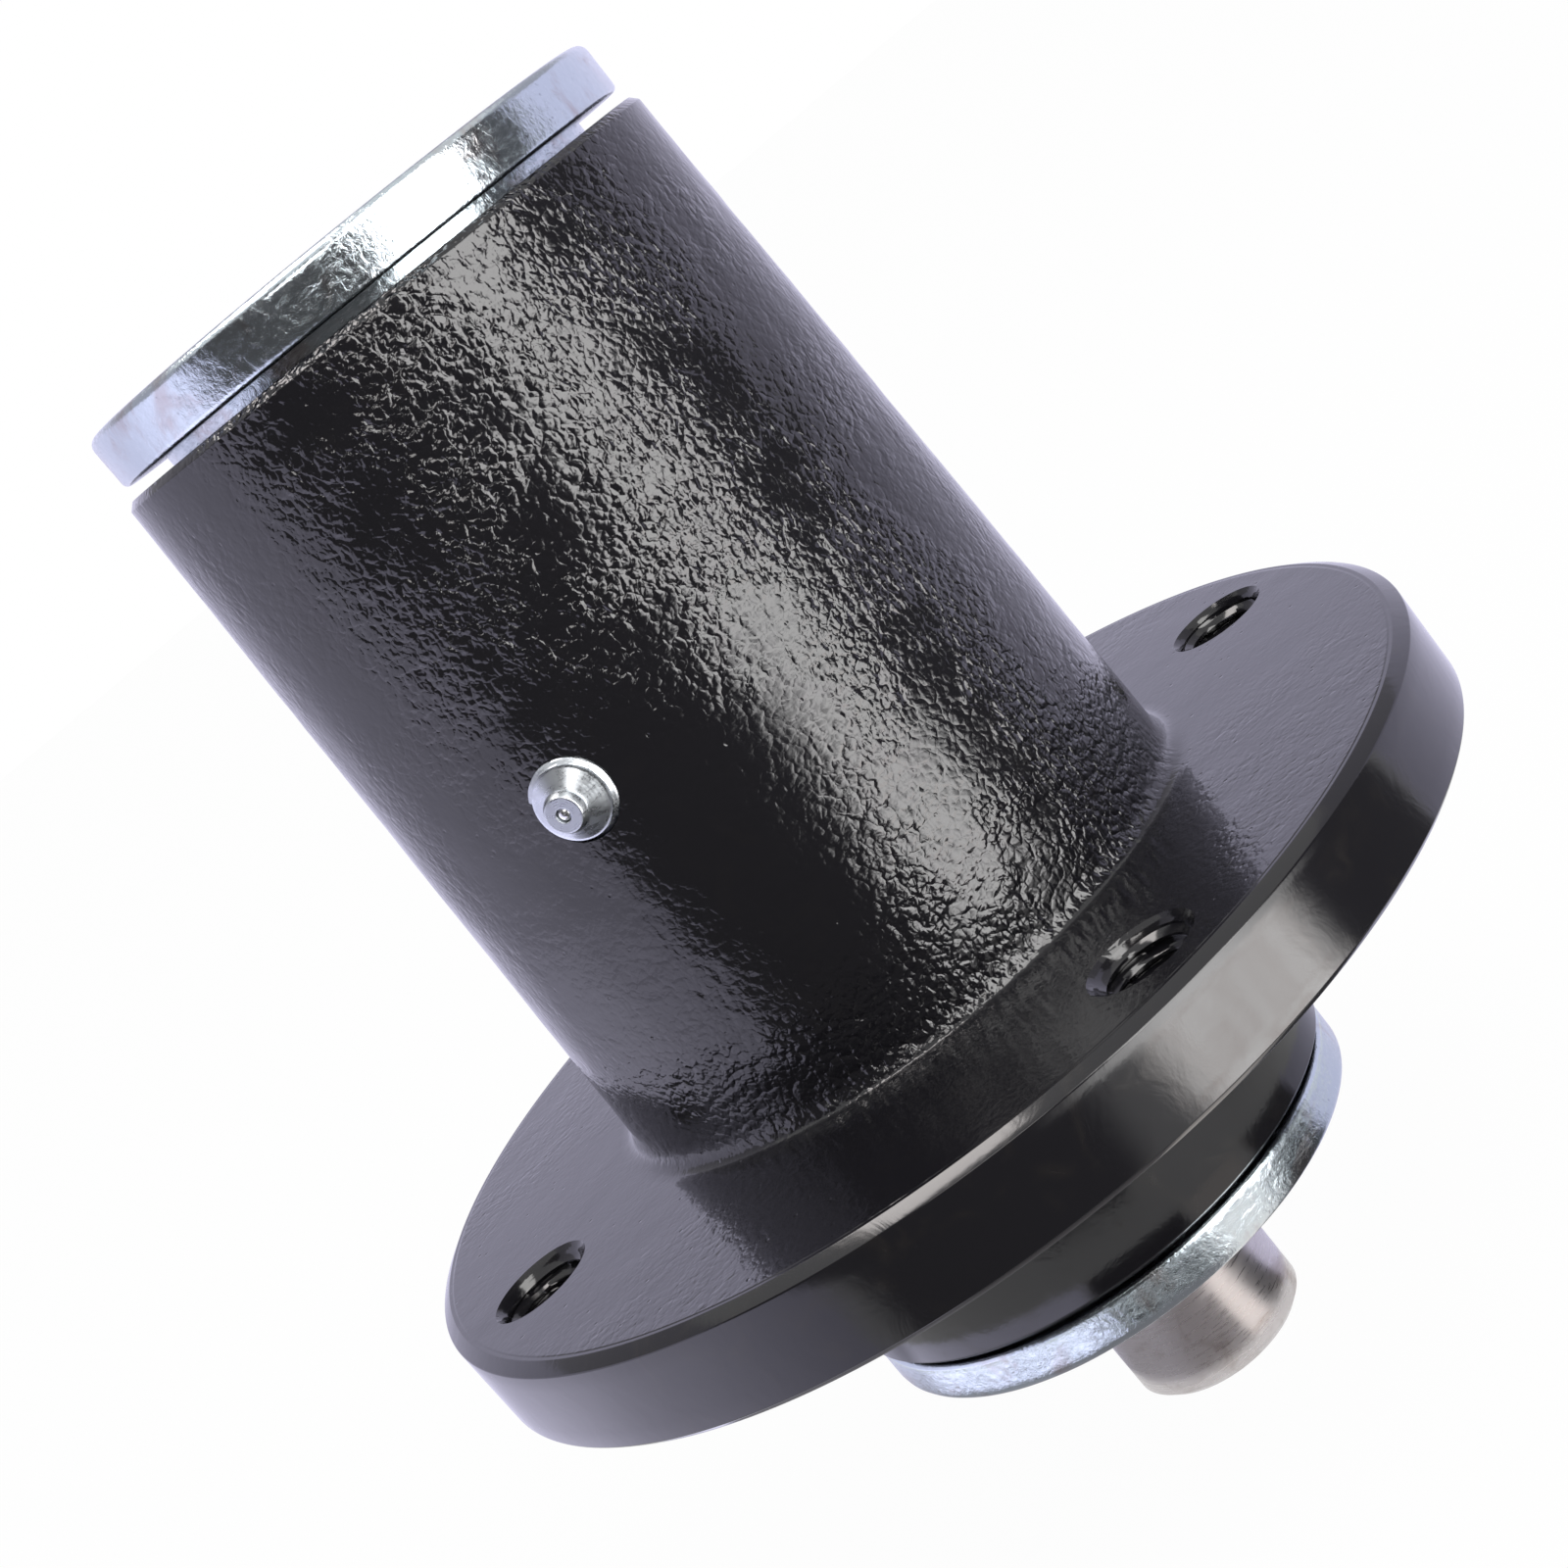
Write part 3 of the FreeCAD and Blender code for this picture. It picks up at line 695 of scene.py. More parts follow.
@dataclass
class CastHousing:
    """One iron casting: drafted barrel, round flange with four threaded holes, and pilot boss."""

    flange_radius: float
    barrel_top: float
    boss_end: float
    flange_thickness: float = 13.0
    bevel_width: float = 1.66
    bevel_height: float = 1.06
    edge_chamfer: float = 0.8
    edge_rounding: float = 0.28
    foot_radius: float = 42.0
    foot_rounding: float = 2.0
    face_start: float = 45.0
    top_radius: float = 38.5
    top_chamfer: float = 0.9
    boss_radius: float = 36.6
    mouth_depth: float = 6.0
    upper_mouth_radius: float = 32.2
    lower_mouth_radius: float = 30.0
    seal_radius: float = 27.95
    seal_depth: float = 15.0
    cup_radius: float = 25.15
    cup_depth: float = 30.17
    land_radius: float = 22.5
    land_width: float = 6.0
    cavity_radius: float = 30.0
    hole_circle_radius: float = 62.5
    hole_radius: float = 6.0
    hole_countersink: float = 0.9
    thread_pitch: float = 1.75
    thread_depth: float = 0.9
    port_height: float = 59.2
    port_azimuth: float = 226.0
    port_radius: float = 5.22
    port_block: int = 6
    port_reach: float = 1.75
    columns: int = 288
    side_steps: int = 10
    face_rows: int = 8
    barrel_step: float = 1.0
    swell: float = 0.09
    ripple: float = 0.035

    @classmethod
    def from_frame(cls) -> "CastHousing":
        """Take the main levels and the flange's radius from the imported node."""
        low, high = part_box("housing")
        return cls(flange_radius=high.x / MM, barrel_top=high.z / MM, boss_end=low.z / MM)

    def bore(self, end_face: float, inwards: int, mouth_radius: float) -> list[Corner]:
        """Corners of one end's stepped bore, from its end face to the grease cavity."""
        mouth = end_face + inwards * self.mouth_depth
        seal = end_face + inwards * self.seal_depth
        shoulder = end_face + inwards * self.cup_depth
        land = shoulder + inwards * self.land_width
        cavity = land + inwards * (self.cavity_radius - self.land_radius)
        return [
            Corner(mouth_radius, end_face, self.edge_rounding),
            Corner(mouth_radius, mouth),
            Corner(self.seal_radius, mouth, self.edge_rounding),
            Corner(self.seal_radius, seal),
            Corner(self.cup_radius, seal, self.edge_rounding),
            Corner(self.cup_radius, shoulder),
            Corner(self.land_radius, shoulder, self.edge_rounding),
            Corner(self.land_radius, land),
            Corner(self.cavity_radius, cavity),
        ]

    def wall_profile(self) -> np.ndarray:
        """Outline from the flange's upper face over the barrel, through the bore, to the boss."""
        upper = self.bore(self.barrel_top, -1, self.upper_mouth_radius)
        lower = self.bore(self.boss_end, 1, self.lower_mouth_radius)
        below_port = self.port_height - 3 * self.port_radius
        upper[-1] = Corner(self.cavity_radius, upper[-1].height, 0.0, self.barrel_step)
        return outline(
            [
                Corner(self.face_start, self.flange_thickness),
                Corner(self.foot_radius, self.flange_thickness, self.foot_rounding, self.barrel_step),
                Corner(self.top_radius, self.barrel_top - self.top_chamfer, self.edge_rounding),
                Corner(self.top_radius - self.top_chamfer, self.barrel_top, self.edge_rounding),
                *upper,
                Corner(self.cavity_radius, below_port),
                *lower[::-1],
                Corner(self.boss_radius - self.edge_chamfer, self.boss_end, self.edge_rounding),
                Corner(self.boss_radius, self.boss_end + self.edge_chamfer, self.edge_rounding, 4.0),
                Corner(self.boss_radius, 0.0),
            ]
        )

    def rim_profile(self) -> np.ndarray:
        """Outline round the flange's rim, from its lower face to its upper face."""
        edge = 2 * self.edge_rounding
        bevel = self.flange_radius - self.bevel_width
        return outline(
            [
                Corner(self.flange_radius - self.edge_chamfer - edge, 0.0),
                Corner(self.flange_radius - self.edge_chamfer, 0.0, self.edge_rounding),
                Corner(self.flange_radius, self.edge_chamfer, self.edge_rounding, 2.5),
                Corner(self.flange_radius, self.flange_thickness - self.bevel_height, self.edge_rounding),
                Corner(bevel, self.flange_thickness, self.edge_rounding),
                Corner(bevel - edge, self.flange_thickness),
            ]
        )

    def cast_skin(self, grid: np.ndarray) -> np.ndarray:
        """Swells and ripples of the cast barrel.

        The shift away from the axis is swell * n(11 mm) + ripple * n(2.6 mm), where n is lattice
        noise, faded out at the barrel's foot, top and grease port.

        Args:
            grid: Points of the barrel's wall.

        Returns:
            The shifted points.
        """
        height = grid[..., 2]
        fade = smooth_step(height, self.flange_thickness + 1.0, self.flange_thickness + 5.0)
        fade = fade * smooth_step(height, self.barrel_top - 1.2, self.barrel_top - 4.0)
        away = np.linalg.norm(grid - self.port_centre(self.wall_radius(self.port_height)), axis=-1)
        fade = fade * smooth_step(away, self.port_radius, 2 * self.port_radius)
        shift = self.swell * lattice_noise(grid, 11.0, 3) + self.ripple * lattice_noise(grid, 2.6, 8)
        return radial_shift(grid, shift * fade)

    def wall_radius(self, height: np.ndarray | float) -> np.ndarray | float:
        """Radius of the drafted barrel: it falls evenly from the foot to the top chamfer."""
        run = self.barrel_top - self.top_chamfer - self.flange_thickness
        share = (height - self.flange_thickness) / run
        return self.foot_radius + (self.top_radius - self.foot_radius) * share

    def port_centre(self, radius: float) -> np.ndarray:
        """Place on the grease port's axis at a distance from the spindle's axis."""
        turn = math.radians(self.port_azimuth)
        return np.array([radius * math.cos(turn), radius * math.sin(turn), self.port_height])

    def open_port(self, grid: np.ndarray, rows: np.ndarray, radius_at: Callable) -> tuple[np.ndarray, np.ndarray]:
        """Bend a wall's grid so that a square block of its cells borders the round port.

        With (a, b) the index distance from the block's middle over its half width and
        s = max(|a|, |b|), a point at s = 1 goes to the port's circle, and the move fades to
        none at s = port_reach. Tangent distances are turned into angles by the arc sine.

        Args:
            grid: Points of the whole turned wall, which is changed.
            rows: Row indices of the wall, from its lowest to its highest.
            radius_at: Gives the wall's radius at a height.

        Returns:
            Indices of the border's points, in order round the port, and of the block's cells.
        """
        turn = math.radians(self.port_azimuth)
        middle_column = round(self.port_azimuth / 360.0 * self.columns)
        heights = grid[rows, 0, 2]
        middle = int(np.argmin(np.abs(heights - self.port_height)))
        reach = math.floor(self.port_block * self.port_reach)
        up, side = np.meshgrid(np.arange(-reach, reach + 1), np.arange(-reach, reach + 1), indexing="ij")
        row = rows[middle + up]
        column = (middle_column + side) % self.columns
        found = grid[row, column]
        angle = np.arctan2(found[..., 1], found[..., 0])
        radius = np.hypot(found[..., 0], found[..., 1])
        across = radius * np.sin(angle - turn)
        rise = found[..., 2] - self.port_height
        share = np.stack([side, up], axis=-1) / self.port_block
        square = np.abs(share).max(axis=-1)
        length = np.maximum(np.linalg.norm(share, axis=-1), 1e-9)
        keep = smooth_step(square, 1.0, self.port_reach)
        circle = share / length[..., None] * (self.port_radius * square)[..., None]
        across = (1.0 - keep) * circle[..., 0] + keep * across
        rise = (1.0 - keep) * circle[..., 1] + keep * rise
        height = self.port_height + rise
        radius = radius_at(height)
        angle = turn + np.arcsin(np.clip(across / radius, -1.0, 1.0))
        grid[row, column] = np.stack([radius * np.cos(angle), radius * np.sin(angle), height], axis=-1)
        block = self.port_block
        line = np.arange(-block, block)
        edge = np.full(2 * block, block)
        ring_side = np.concatenate([line, edge, -line, -edge])
        ring_up = np.concatenate([-edge, line, edge, -line])
        border = rows[middle + ring_up] * self.columns + (middle_column + ring_side) % self.columns
        cell_up, cell_side = np.meshgrid(line, line, indexing="ij")
        lower_row = np.minimum(rows[middle + cell_up], rows[middle + cell_up + 1])
        cells = lower_row * self.columns + (middle_column + cell_side) % self.columns
        return border, cells.ravel()

    def wall(self) -> list[Surface]:
        """The turned wall with its grease port, and the port's own wall."""
        profile = self.wall_profile()
        grid = turned_grid(profile, self.columns)
        order = np.arange(len(profile))
        foot = self.flange_thickness + self.foot_rounding
        top = self.barrel_top - 2 * self.top_chamfer
        inner_top = self.barrel_top - self.cup_depth - self.land_width - self.cavity_radius + self.land_radius
        outer_rows = order[(profile[:, 0] > self.top_radius - 0.01) & (profile[:, 1] > foot) & (profile[:, 1] < top)]
        on_cavity = (np.abs(profile[:, 0] - self.cavity_radius) < 1e-6) & (profile[:, 1] <= inner_top)
        inner_rows = order[on_cavity & (profile[:, 1] > self.foot_rounding)][::-1]
        outer_border, outer_cells = self.open_port(grid, outer_rows, self.wall_radius)
        inner_border, inner_cells = self.open_port(grid, inner_rows, lambda height: np.full_like(height, self.cavity_radius))
        grid[outer_rows] = self.cast_skin(grid[outer_rows])
        faces = grid_faces(len(profile), self.columns).reshape(-1, 4)
        kept = np.delete(np.arange(len(faces)), np.concatenate([outer_cells, inner_cells]))
        points = grid.reshape(-1, 3)
        share = np.linspace(0.0, 1.0, 4)[:, None, None]
        tube = points[outer_border] * (1.0 - share) + points[inner_border] * share
        return [Surface(points, faces[kept]), grid_surface(tube)]

    def quarter_border(self, inner: float, outer: float) -> np.ndarray:
        """Points round a quarter of a flat ring, centred on +X.

        They run along the inner arc from -45 to 45 degrees, out along that side, back along the
        outer arc and in again, at the angles that the turned walls have.

        Args:
            inner: Inner radius in mm.
            outer: Outer radius in mm.

        Returns:
            Points of shape (n, 2).
        """
        angle = np.linspace(-math.pi / 4, math.pi / 4, self.columns // 4 + 1)[:-1]
        side = inner + (outer - inner) * np.linspace(0.0, 1.0, self.side_steps + 1)[:-1]
        radius = np.concatenate([np.full_like(angle, inner), side, np.full_like(angle, outer), inner + outer - side])
        turn = np.concatenate([angle, np.full_like(side, math.pi / 4), -angle, np.full_like(side, -math.pi / 4)])
        return np.stack([radius * np.cos(turn), radius * np.sin(turn)], axis=-1)

    def hole_angles(self) -> np.ndarray:
        """Angles round a hole at which its rings have their points.

        Each is the mean of the angle of its point on the quarter's border, seen from the hole's
        middle, and of an even share of the full turn, so no two of them lie too near each other.
        """
        border = self.quarter_border(self.face_start, self.rim_profile()[-1, 0])
        seen = np.unwrap(np.arctan2(border[:, 1], border[:, 0] - self.hole_circle_radius))
        even = -np.arange(len(border)) * 2.0 * math.pi / len(border)
        return (seen + even + np.mean(seen - even)) / 2

    def quarter_face(self, level: float, border: np.ndarray, mouth_radius: float, roughness: float) -> Surface:
        """Flat quarter with a round hole: (1 - v) * circle + v * border, for v from 0 to 1.

        Args:
            level: Height of the face in mm.
            border: Points round the quarter.
            mouth_radius: Radius of the hole's mouth in mm.
            roughness: Height of the cast ripples in mm, faded out at the hole and the border.

        Returns:
            The quarter's surface.
        """
        angle = self.hole_angles()
        mouth = np.stack([self.hole_circle_radius + mouth_radius * np.cos(angle), mouth_radius * np.sin(angle)], axis=-1)
        share = np.linspace(0.0, 1.0, self.face_rows + 1)[:, None, None]
        flat = (1.0 - share) * mouth + share * border
        grid = np.concatenate([flat, np.full(flat.shape[:2] + (1,), level)], axis=-1)
        fade = 4.0 * share[..., 0] * (1.0 - share[..., 0])
        grid[..., 2] += roughness * fade * lattice_noise(grid, 5.0, 5)
        return grid_surface(grid)

    def threaded_hole(self) -> Surface:
        """Wall of one flange hole: its countersink, then a thread of ridges inwards."""
        depth = self.hole_countersink
        height = np.concatenate(
            [
                np.linspace(self.flange_thickness, self.flange_thickness - depth, 3),
                np.linspace(self.flange_thickness - depth, 0.0, 39)[1:],
            ]
        )[:, None]
        angle = self.hole_angles()[None]
        radius = self.hole_radius + np.maximum(height - (self.flange_thickness - depth), 0.0)
        envelope = smooth_step(height, self.flange_thickness - depth, self.flange_thickness - 2 * depth)
        envelope = envelope * smooth_step(height, 0.0, depth)
        radius = radius - self.thread_depth * envelope * thread_ridge(height, angle, self.thread_pitch)
        x = self.hole_circle_radius + radius * np.cos(angle)
        grid = np.stack([x, radius * np.sin(angle), np.broadcast_to(height, radius.shape)], axis=-1)
        return grid_surface(grid)

    def build(self) -> bpy.types.Object:
        """Make the casting as one closed mesh."""
        rim = self.rim_profile()
        top_border = self.quarter_border(self.face_start, rim[-1, 0])
        low_border = self.quarter_border(self.boss_radius, rim[0, 0])
        mouth_radius = self.hole_radius + self.hole_countersink
        quarter = [
            self.quarter_face(self.flange_thickness, top_border, mouth_radius, self.ripple),
            self.quarter_face(0.0, low_border, self.hole_radius, 0.0),
            self.threaded_hole(),
        ]
        surfaces = self.wall() + [grid_surface(turned_grid(rim, self.columns))]
        for index in range(4):
            surfaces += [turned_about_axis(surface, index * math.pi / 2) for surface in quarter]
        return make_piece("housing_casting", surfaces)


@dataclass
class EndCap:
    """A turned cap with its labyrinth spigot, its hub and the recess for the retaining ring."""

    node: str
    end_face: float
    outwards: int
    radius: float
    thickness: float
    gap: float
    spigot_radius: float
    edge_rounding: float = 1.3
    bore_radius: float = 12.72
    hub_radius: float = 17.5
    hub_depth: float = 15.95
    spigot_depth: float = 5.0
    recess_radius: float = 19.0
    recess_depth: float = 3.0
    dent: float = 0.03
    columns: int = 320

    def build(self) -> bpy.types.Object:
        """Make the cap, with shallow dents on its rim: dent * n(4 mm) away from the axis."""
        top = self.gap + self.thickness
        corners = [
            (self.bore_radius, -self.hub_depth, 0.0, 1000.0),
            (self.hub_radius, -self.hub_depth, 0.4, 1000.0),
            (self.hub_radius, -self.spigot_depth, 0.0, 1000.0),
            (self.spigot_radius, -self.spigot_depth, 0.4, 1.5),
            (self.spigot_radius, self.gap, 0.0, 1000.0),
            (self.radius, self.gap, self.edge_rounding * 0.6, 0.7),
            (self.radius, top, self.edge_rounding, 2.5),
            (self.recess_radius, top, 0.4, 1000.0),
            (self.recess_radius, top - self.recess_depth, 0.0, 1000.0),
            (self.bore_radius, top - self.recess_depth, 0.2, 1000.0),
        ]
        placed = [
            Corner(radius, self.end_face + self.outwards * height, rounding, step)
            for radius, height, rounding, step in corners
        ]
        grid = turned_grid(outline(placed, closed=True, arc_steps=5), self.columns)
        on_rim = smooth_step(np.linalg.norm(grid[..., :2], axis=-1), self.radius - 2.0, self.radius - 1.0)
        grid = radial_shift(grid, self.dent * on_rim * (lattice_noise(grid, 4.0, 11) - 1.0))
        return make_piece(self.node + "_turned", [grid_surface(grid, closed_rows=True)])


@dataclass
class SpindleShaft:
    """The ground shaft with its ring grooves and a threaded hole in each end."""

    top: float
    bottom: float
    radius: float = 12.7
    top_chamfer: float = 0.8
    end_chamfer: float = 1.2
    groove_depth: float = 0.7
    groove_width: float = 1.34
    upper_groove: float = 119.08
    lower_groove: float = -30.68
    relief_depth: float = 0.4
    relief_end: float = -34.0
    pulley_bolt_radius: float = 6.35
    pulley_bolt_depth: float = 32.0
    pulley_bolt_pitch: float = 1.954
    blade_bolt_radius: float = 7.94
    blade_bolt_depth: float = 38.0
    blade_bolt_pitch: float = 2.309
    mouth_chamfer: float = 0.8
    drill_point_angle: float = 118.0
    thread_step: float = 0.28
    columns: int = 192

    @classmethod
    def from_frame(cls) -> "SpindleShaft":
        """Take the shaft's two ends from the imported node."""
        low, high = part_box("shaft")
        return cls(top=high.z / MM, bottom=low.z / MM)

    def bolt_hole(self, mouth: float, inwards: int, radius: float, depth: float) -> list[Corner]:
        """Corners of a blind hole from its drill point to its mouth."""
        point = radius / math.tan(math.radians(self.drill_point_angle / 2))
        floor = mouth + inwards * depth
        return [
            Corner(0.0, floor + inwards * point),
            Corner(radius, floor, 0.0, self.thread_step),
            Corner(radius, mouth + inwards * self.mouth_chamfer),
            Corner(radius + self.mouth_chamfer, mouth, 0.15),
        ]

    def groove(self, low: float, depth: float, width: float) -> list[Corner]:
        """Corners of a square groove, from its upper edge to its lower edge."""
        floor = self.radius - depth
        return [
            Corner(self.radius, low + width),
            Corner(floor, low + width),
            Corner(floor, low),
            Corner(self.radius, low),
        ]

    def cut_threads(self, grid: np.ndarray) -> np.ndarray:
        """Raise a thread inwards on the walls of both holes, 0.54 of its pitch deep."""
        height = grid[..., 2]
        angle = np.arctan2(grid[..., 1], grid[..., 0])
        radius = np.linalg.norm(grid[..., :2], axis=-1)
        shift = np.zeros_like(radius)
        holes = [
            (self.top, -1, self.pulley_bolt_radius, self.pulley_bolt_depth, self.pulley_bolt_pitch),
            (self.bottom, 1, self.blade_bolt_radius, self.blade_bolt_depth, self.blade_bolt_pitch),
        ]
        for mouth, inwards, wall, depth, pitch in holes:
            depth_here = (height - mouth) * inwards
            envelope = smooth_step(depth_here, self.mouth_chamfer, 2 * self.mouth_chamfer)
            envelope = envelope * smooth_step(depth_here, depth - pitch, depth - 3 * pitch)
            on_wall = np.abs(radius - wall) < 1e-6
            shift -= on_wall * envelope * 0.54 * pitch * thread_ridge(height, angle, pitch)
        return radial_shift(grid, shift)

    def build(self) -> bpy.types.Object:
        """Make the shaft as one closed mesh."""
        relief_top = self.lower_groove
        relief = self.groove(self.relief_end, self.relief_depth, relief_top - self.groove_width - self.relief_end)
        lower_groove = self.groove(self.lower_groove - self.groove_width, self.groove_depth, self.groove_width)
        corners = self.bolt_hole(self.top, -1, self.pulley_bolt_radius, self.pulley_bolt_depth)
        corners += [
            Corner(self.radius - self.top_chamfer, self.top, 0.2),
            Corner(self.radius, self.top - self.top_chamfer, 0.2),
            *self.groove(self.upper_groove, self.groove_depth, self.groove_width),
            *lower_groove[:-1],
            *relief[1:],
            Corner(self.radius, self.bottom + self.end_chamfer, 0.3),
            Corner(self.radius - self.end_chamfer, self.bottom, 0.3),
        ]
        corners += self.bolt_hole(self.bottom, 1, self.blade_bolt_radius, self.blade_bolt_depth)[::-1]
        blade_wall = len(corners) - 3
        corners[blade_wall] = Corner(corners[blade_wall].radius, corners[blade_wall].height, 0.0, self.thread_step)
        grid = self.cut_threads(turned_grid(outline(corners), self.columns))
        return make_piece("shaft_ground", [grid_surface(grid)])


@dataclass
class GreaseFitting:
    """Screwed grease fitting: tapered thread, coned shoulder, neck and round head."""

    azimuth: float = 226.0
    height: float = 59.2
    surface_radius: float = 40.381
    thread_length: float = 8.0
    root_radius: float = 4.62
    crest_radius: float = 5.18
    thread_pitch: float = 0.94
    thread_end: float = 0.5
    run_out_angle: float = 150.0
    shoulder_radius: float = 4.75
    shoulder_height: float = 0.7
    base_radius: float = 2.75
    base_height: float = 1.8
    neck_radius: float = 2.2
    neck_height: float = 2.1
    head_radius: float = 2.65
    head_height: float = 2.9
    face_radius: float = 2.2
    face_height: float = 3.85
    ball_hole_radius: float = 0.9
    ball_hole_length: float = 0.45
    chamber_radius: float = 1.25
    chamber_depth: float = 3.0
    passage_radius: float = 0.7
    ring_depth: float = 0.004
    step_depth: float = 0.008
    columns: int = 144

    def profile(self) -> np.ndarray:
        """Closed outline of the fitting as (radius, height above the barrel's skin)."""
        seat = self.face_height - self.ball_hole_length
        return outline(
            [
                Corner(self.passage_radius, -self.thread_length),
                Corner(self.root_radius, -self.thread_length, 0.2, 0.12),
                Corner(self.root_radius, self.thread_end, 0.0, 0.1),
                Corner(self.shoulder_radius - 0.12, self.shoulder_height, 0.12, 0.1),
                Corner(self.base_radius, self.base_height, 0.1),
                Corner(self.neck_radius, self.neck_height, 0.12),
                Corner(self.head_radius, self.head_height, 0.3),
                Corner(self.face_radius, self.face_height, 0.18, 0.07),
                Corner(self.ball_hole_radius, self.face_height, 0.05),
                Corner(self.ball_hole_radius, seat),
                Corner(self.chamber_radius, seat - self.chamber_radius + self.ball_hole_radius),
                Corner(self.chamber_radius, -self.chamber_depth),
                Corner(self.passage_radius, -self.chamber_depth),
            ],
            closed=True,
            arc_steps=4,
        )

    def thread(self, grid: np.ndarray) -> np.ndarray:
        """Raise the thread outwards.

        A crest is nearest at whole turns of height / pitch - angle / 2 pi. The ridge falls away
        from it evenly, and the last turn stops at the run-out angle.

        Args:
            grid: Points turned about Z.

        Returns:
            The points with the thread on them.
        """
        height = grid[..., 2]
        angle = np.mod(np.arctan2(grid[..., 1], grid[..., 0]) - math.radians(self.run_out_angle), 2 * math.pi)
        turns = (height - self.thread_end * 0.5) / self.thread_pitch - angle / (2 * math.pi) + 1.0
        near = np.round(turns)
        ridge = np.clip(1.15 - 2.3 * np.abs(turns - near), 0.0, 1.0) * (near <= 0.5)
        outside = np.linalg.norm(grid[..., :2], axis=-1) > self.root_radius - 0.15
        on_thread = outside & (height < self.thread_end + 0.3)
        target = self.root_radius + (self.crest_radius - self.root_radius) * ridge
        radius = np.linalg.norm(grid[..., :2], axis=-1)
        shift = np.where(on_thread, np.maximum(target - radius, 0.0), 0.0)
        fade = smooth_step(height, -self.thread_length, -self.thread_length + self.thread_pitch)
        return radial_shift(grid, shift * fade)

    def turning_rings(self, grid: np.ndarray) -> np.ndarray:
        """Lathe rings: the height moves by -ring_depth * (1 - cos(k r)) / 2 on the flat face."""
        radius = np.linalg.norm(grid[..., :2], axis=-1)
        on_face = (np.abs(grid[..., 2] - self.face_height) < 1e-6) & (radius > self.ball_hole_radius + 0.06)
        wave = (1.0 - np.cos(radius * 2 * math.pi / 0.28)) / 2
        moved = grid.copy()
        moved[..., 2] -= self.ring_depth * wave * on_face
        on_cone = (grid[..., 2] > self.shoulder_height) & (grid[..., 2] < self.base_height) & (radius > self.base_radius)
        steps = np.mod(radius / 0.42, 1.0)
        moved[..., 2] -= self.step_depth * steps * on_cone
        return moved

    def outward(self) -> np.ndarray:
        """Direction in which the fitting leaves the barrel: (cos azimuth, sin azimuth, 0)."""
        turn = math.radians(self.azimuth)
        return np.array([math.cos(turn), math.sin(turn), 0.0])

    def placed(self, grid: np.ndarray) -> np.ndarray:
        """Carry points from the fitting's own axis to the barrel: start + x side + y up + z out.

        Args:
            grid: Points in mm, with z along the fitting's axis from the barrel's skin.

        Returns:
            The points in the spindle's frame, in mm.
        """
        out = self.outward()
        side = np.array([-out[1], out[0], 0.0])
        up = np.array([0.0, 0.0, 1.0])
        start = out * self.surface_radius + up * self.height
        return start + grid[..., 0:1] * side + grid[..., 1:2] * up + grid[..., 2:3] * out

    def build(self) -> bpy.types.Object:
        """Make the fitting on its own axis, which leaves the barrel level at its azimuth."""
        grid = self.turning_rings(self.thread(turned_grid(self.profile(), self.columns)))
        return make_piece("grease_fitting_turned", [grid_surface(self.placed(grid), closed_rows=True)])


@dataclass
class CheckSpring:
    """Coil spring under the fitting's check ball. The real one shortens as the ball is pushed in, but this one keeps
    one length.
    """

    fitting: GreaseFitting
    coil_radius: float = 0.85
    wire_radius: float = 0.15
    turns: int = 5
    bottom: float = -2.83
    top: float = 1.799
    stroke: float = 0.6
    steps: int = 120
    sides: int = 10

    def wire(self) -> np.ndarray:
        """Wire round a helix: at the share t its middle is (R cos a, R sin a, bottom + t (top - bottom))
        with a = 2 pi turns t, and a point at the angle v round it lies w (cos v out + sin v up) away.
        The first and the last ring have no radius, which closes the two ends."""
        share = np.clip(np.arange(-1, self.steps + 2) / self.steps, 0.0, 1.0)[:, None]
        width = np.full_like(share, self.wire_radius)
        width[[0, -1]] = 0.0
        angle = 2 * math.pi * self.turns * share
        round_wire = 2 * math.pi * np.arange(self.sides)[None] / self.sides
        radius = self.coil_radius + width * np.cos(round_wire)
        level = self.bottom + share * (self.top - self.bottom) + width * np.sin(round_wire)
        return np.stack([radius * np.cos(angle), radius * np.sin(angle), level], axis=-1)

    def build(self) -> bpy.types.Object:
        """Make the spring in the fitting's chamber."""
        return make_piece("check_spring_coiled", [grid_surface(self.fitting.placed(self.wire()))])

    def shorten(self, spring: bpy.types.Object) -> None:
        floor = -self.fitting.chamber_depth
        anchor = self.fitting.placed(np.array([0.0, 0.0, floor])) * MM
        tuple(self.fitting.outward())
        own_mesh(spring)


@dataclass
class InnerParts:
    """Bearings, seals, spacer, rings and check ball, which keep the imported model's own meshes."""

    finishes: dict[str, Finish] = field(
        default_factory=lambda: {
            "bearing_spacer": Finish.PLAIN_STEEL,
            "upper_retaining_ring": Finish.SPRING_STEEL,
            "lower_retaining_ring": Finish.SPRING_STEEL,
            "grease_check_ball": Finish.BEARING_STEEL,
            **{f"{end}_bearing_{part}": Finish.BEARING_STEEL for end in ("upper", "lower") for part in ("cup", "cone", "rollers")},
            **{f"{end}_bearing_cage": Finish.CAGE_STEEL for end in ("upper", "lower")},
            **{f"{end}_seal_case": Finish.PLAIN_STEEL for end in ("upper", "lower")},
            **{f"{end}_seal_lip": Finish.SEAL_RUBBER for end in ("upper", "lower")},
            **{f"{end}_seal_garter": Finish.SPRING_STEEL for end in ("upper", "lower")},
        }
    )

    def dress(self, shop: PaintShop, nodes: dict[str, bpy.types.Object]) -> None:
        """Put each finish on its node.

        Args:
            shop: Shop that holds the materials.
            nodes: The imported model's nodes by name.
        """
        for name, finish in self.finishes.items():
            shop.dress_node(nodes[name], finish)
            LOG.info("%s: %s", name, finish.slot())


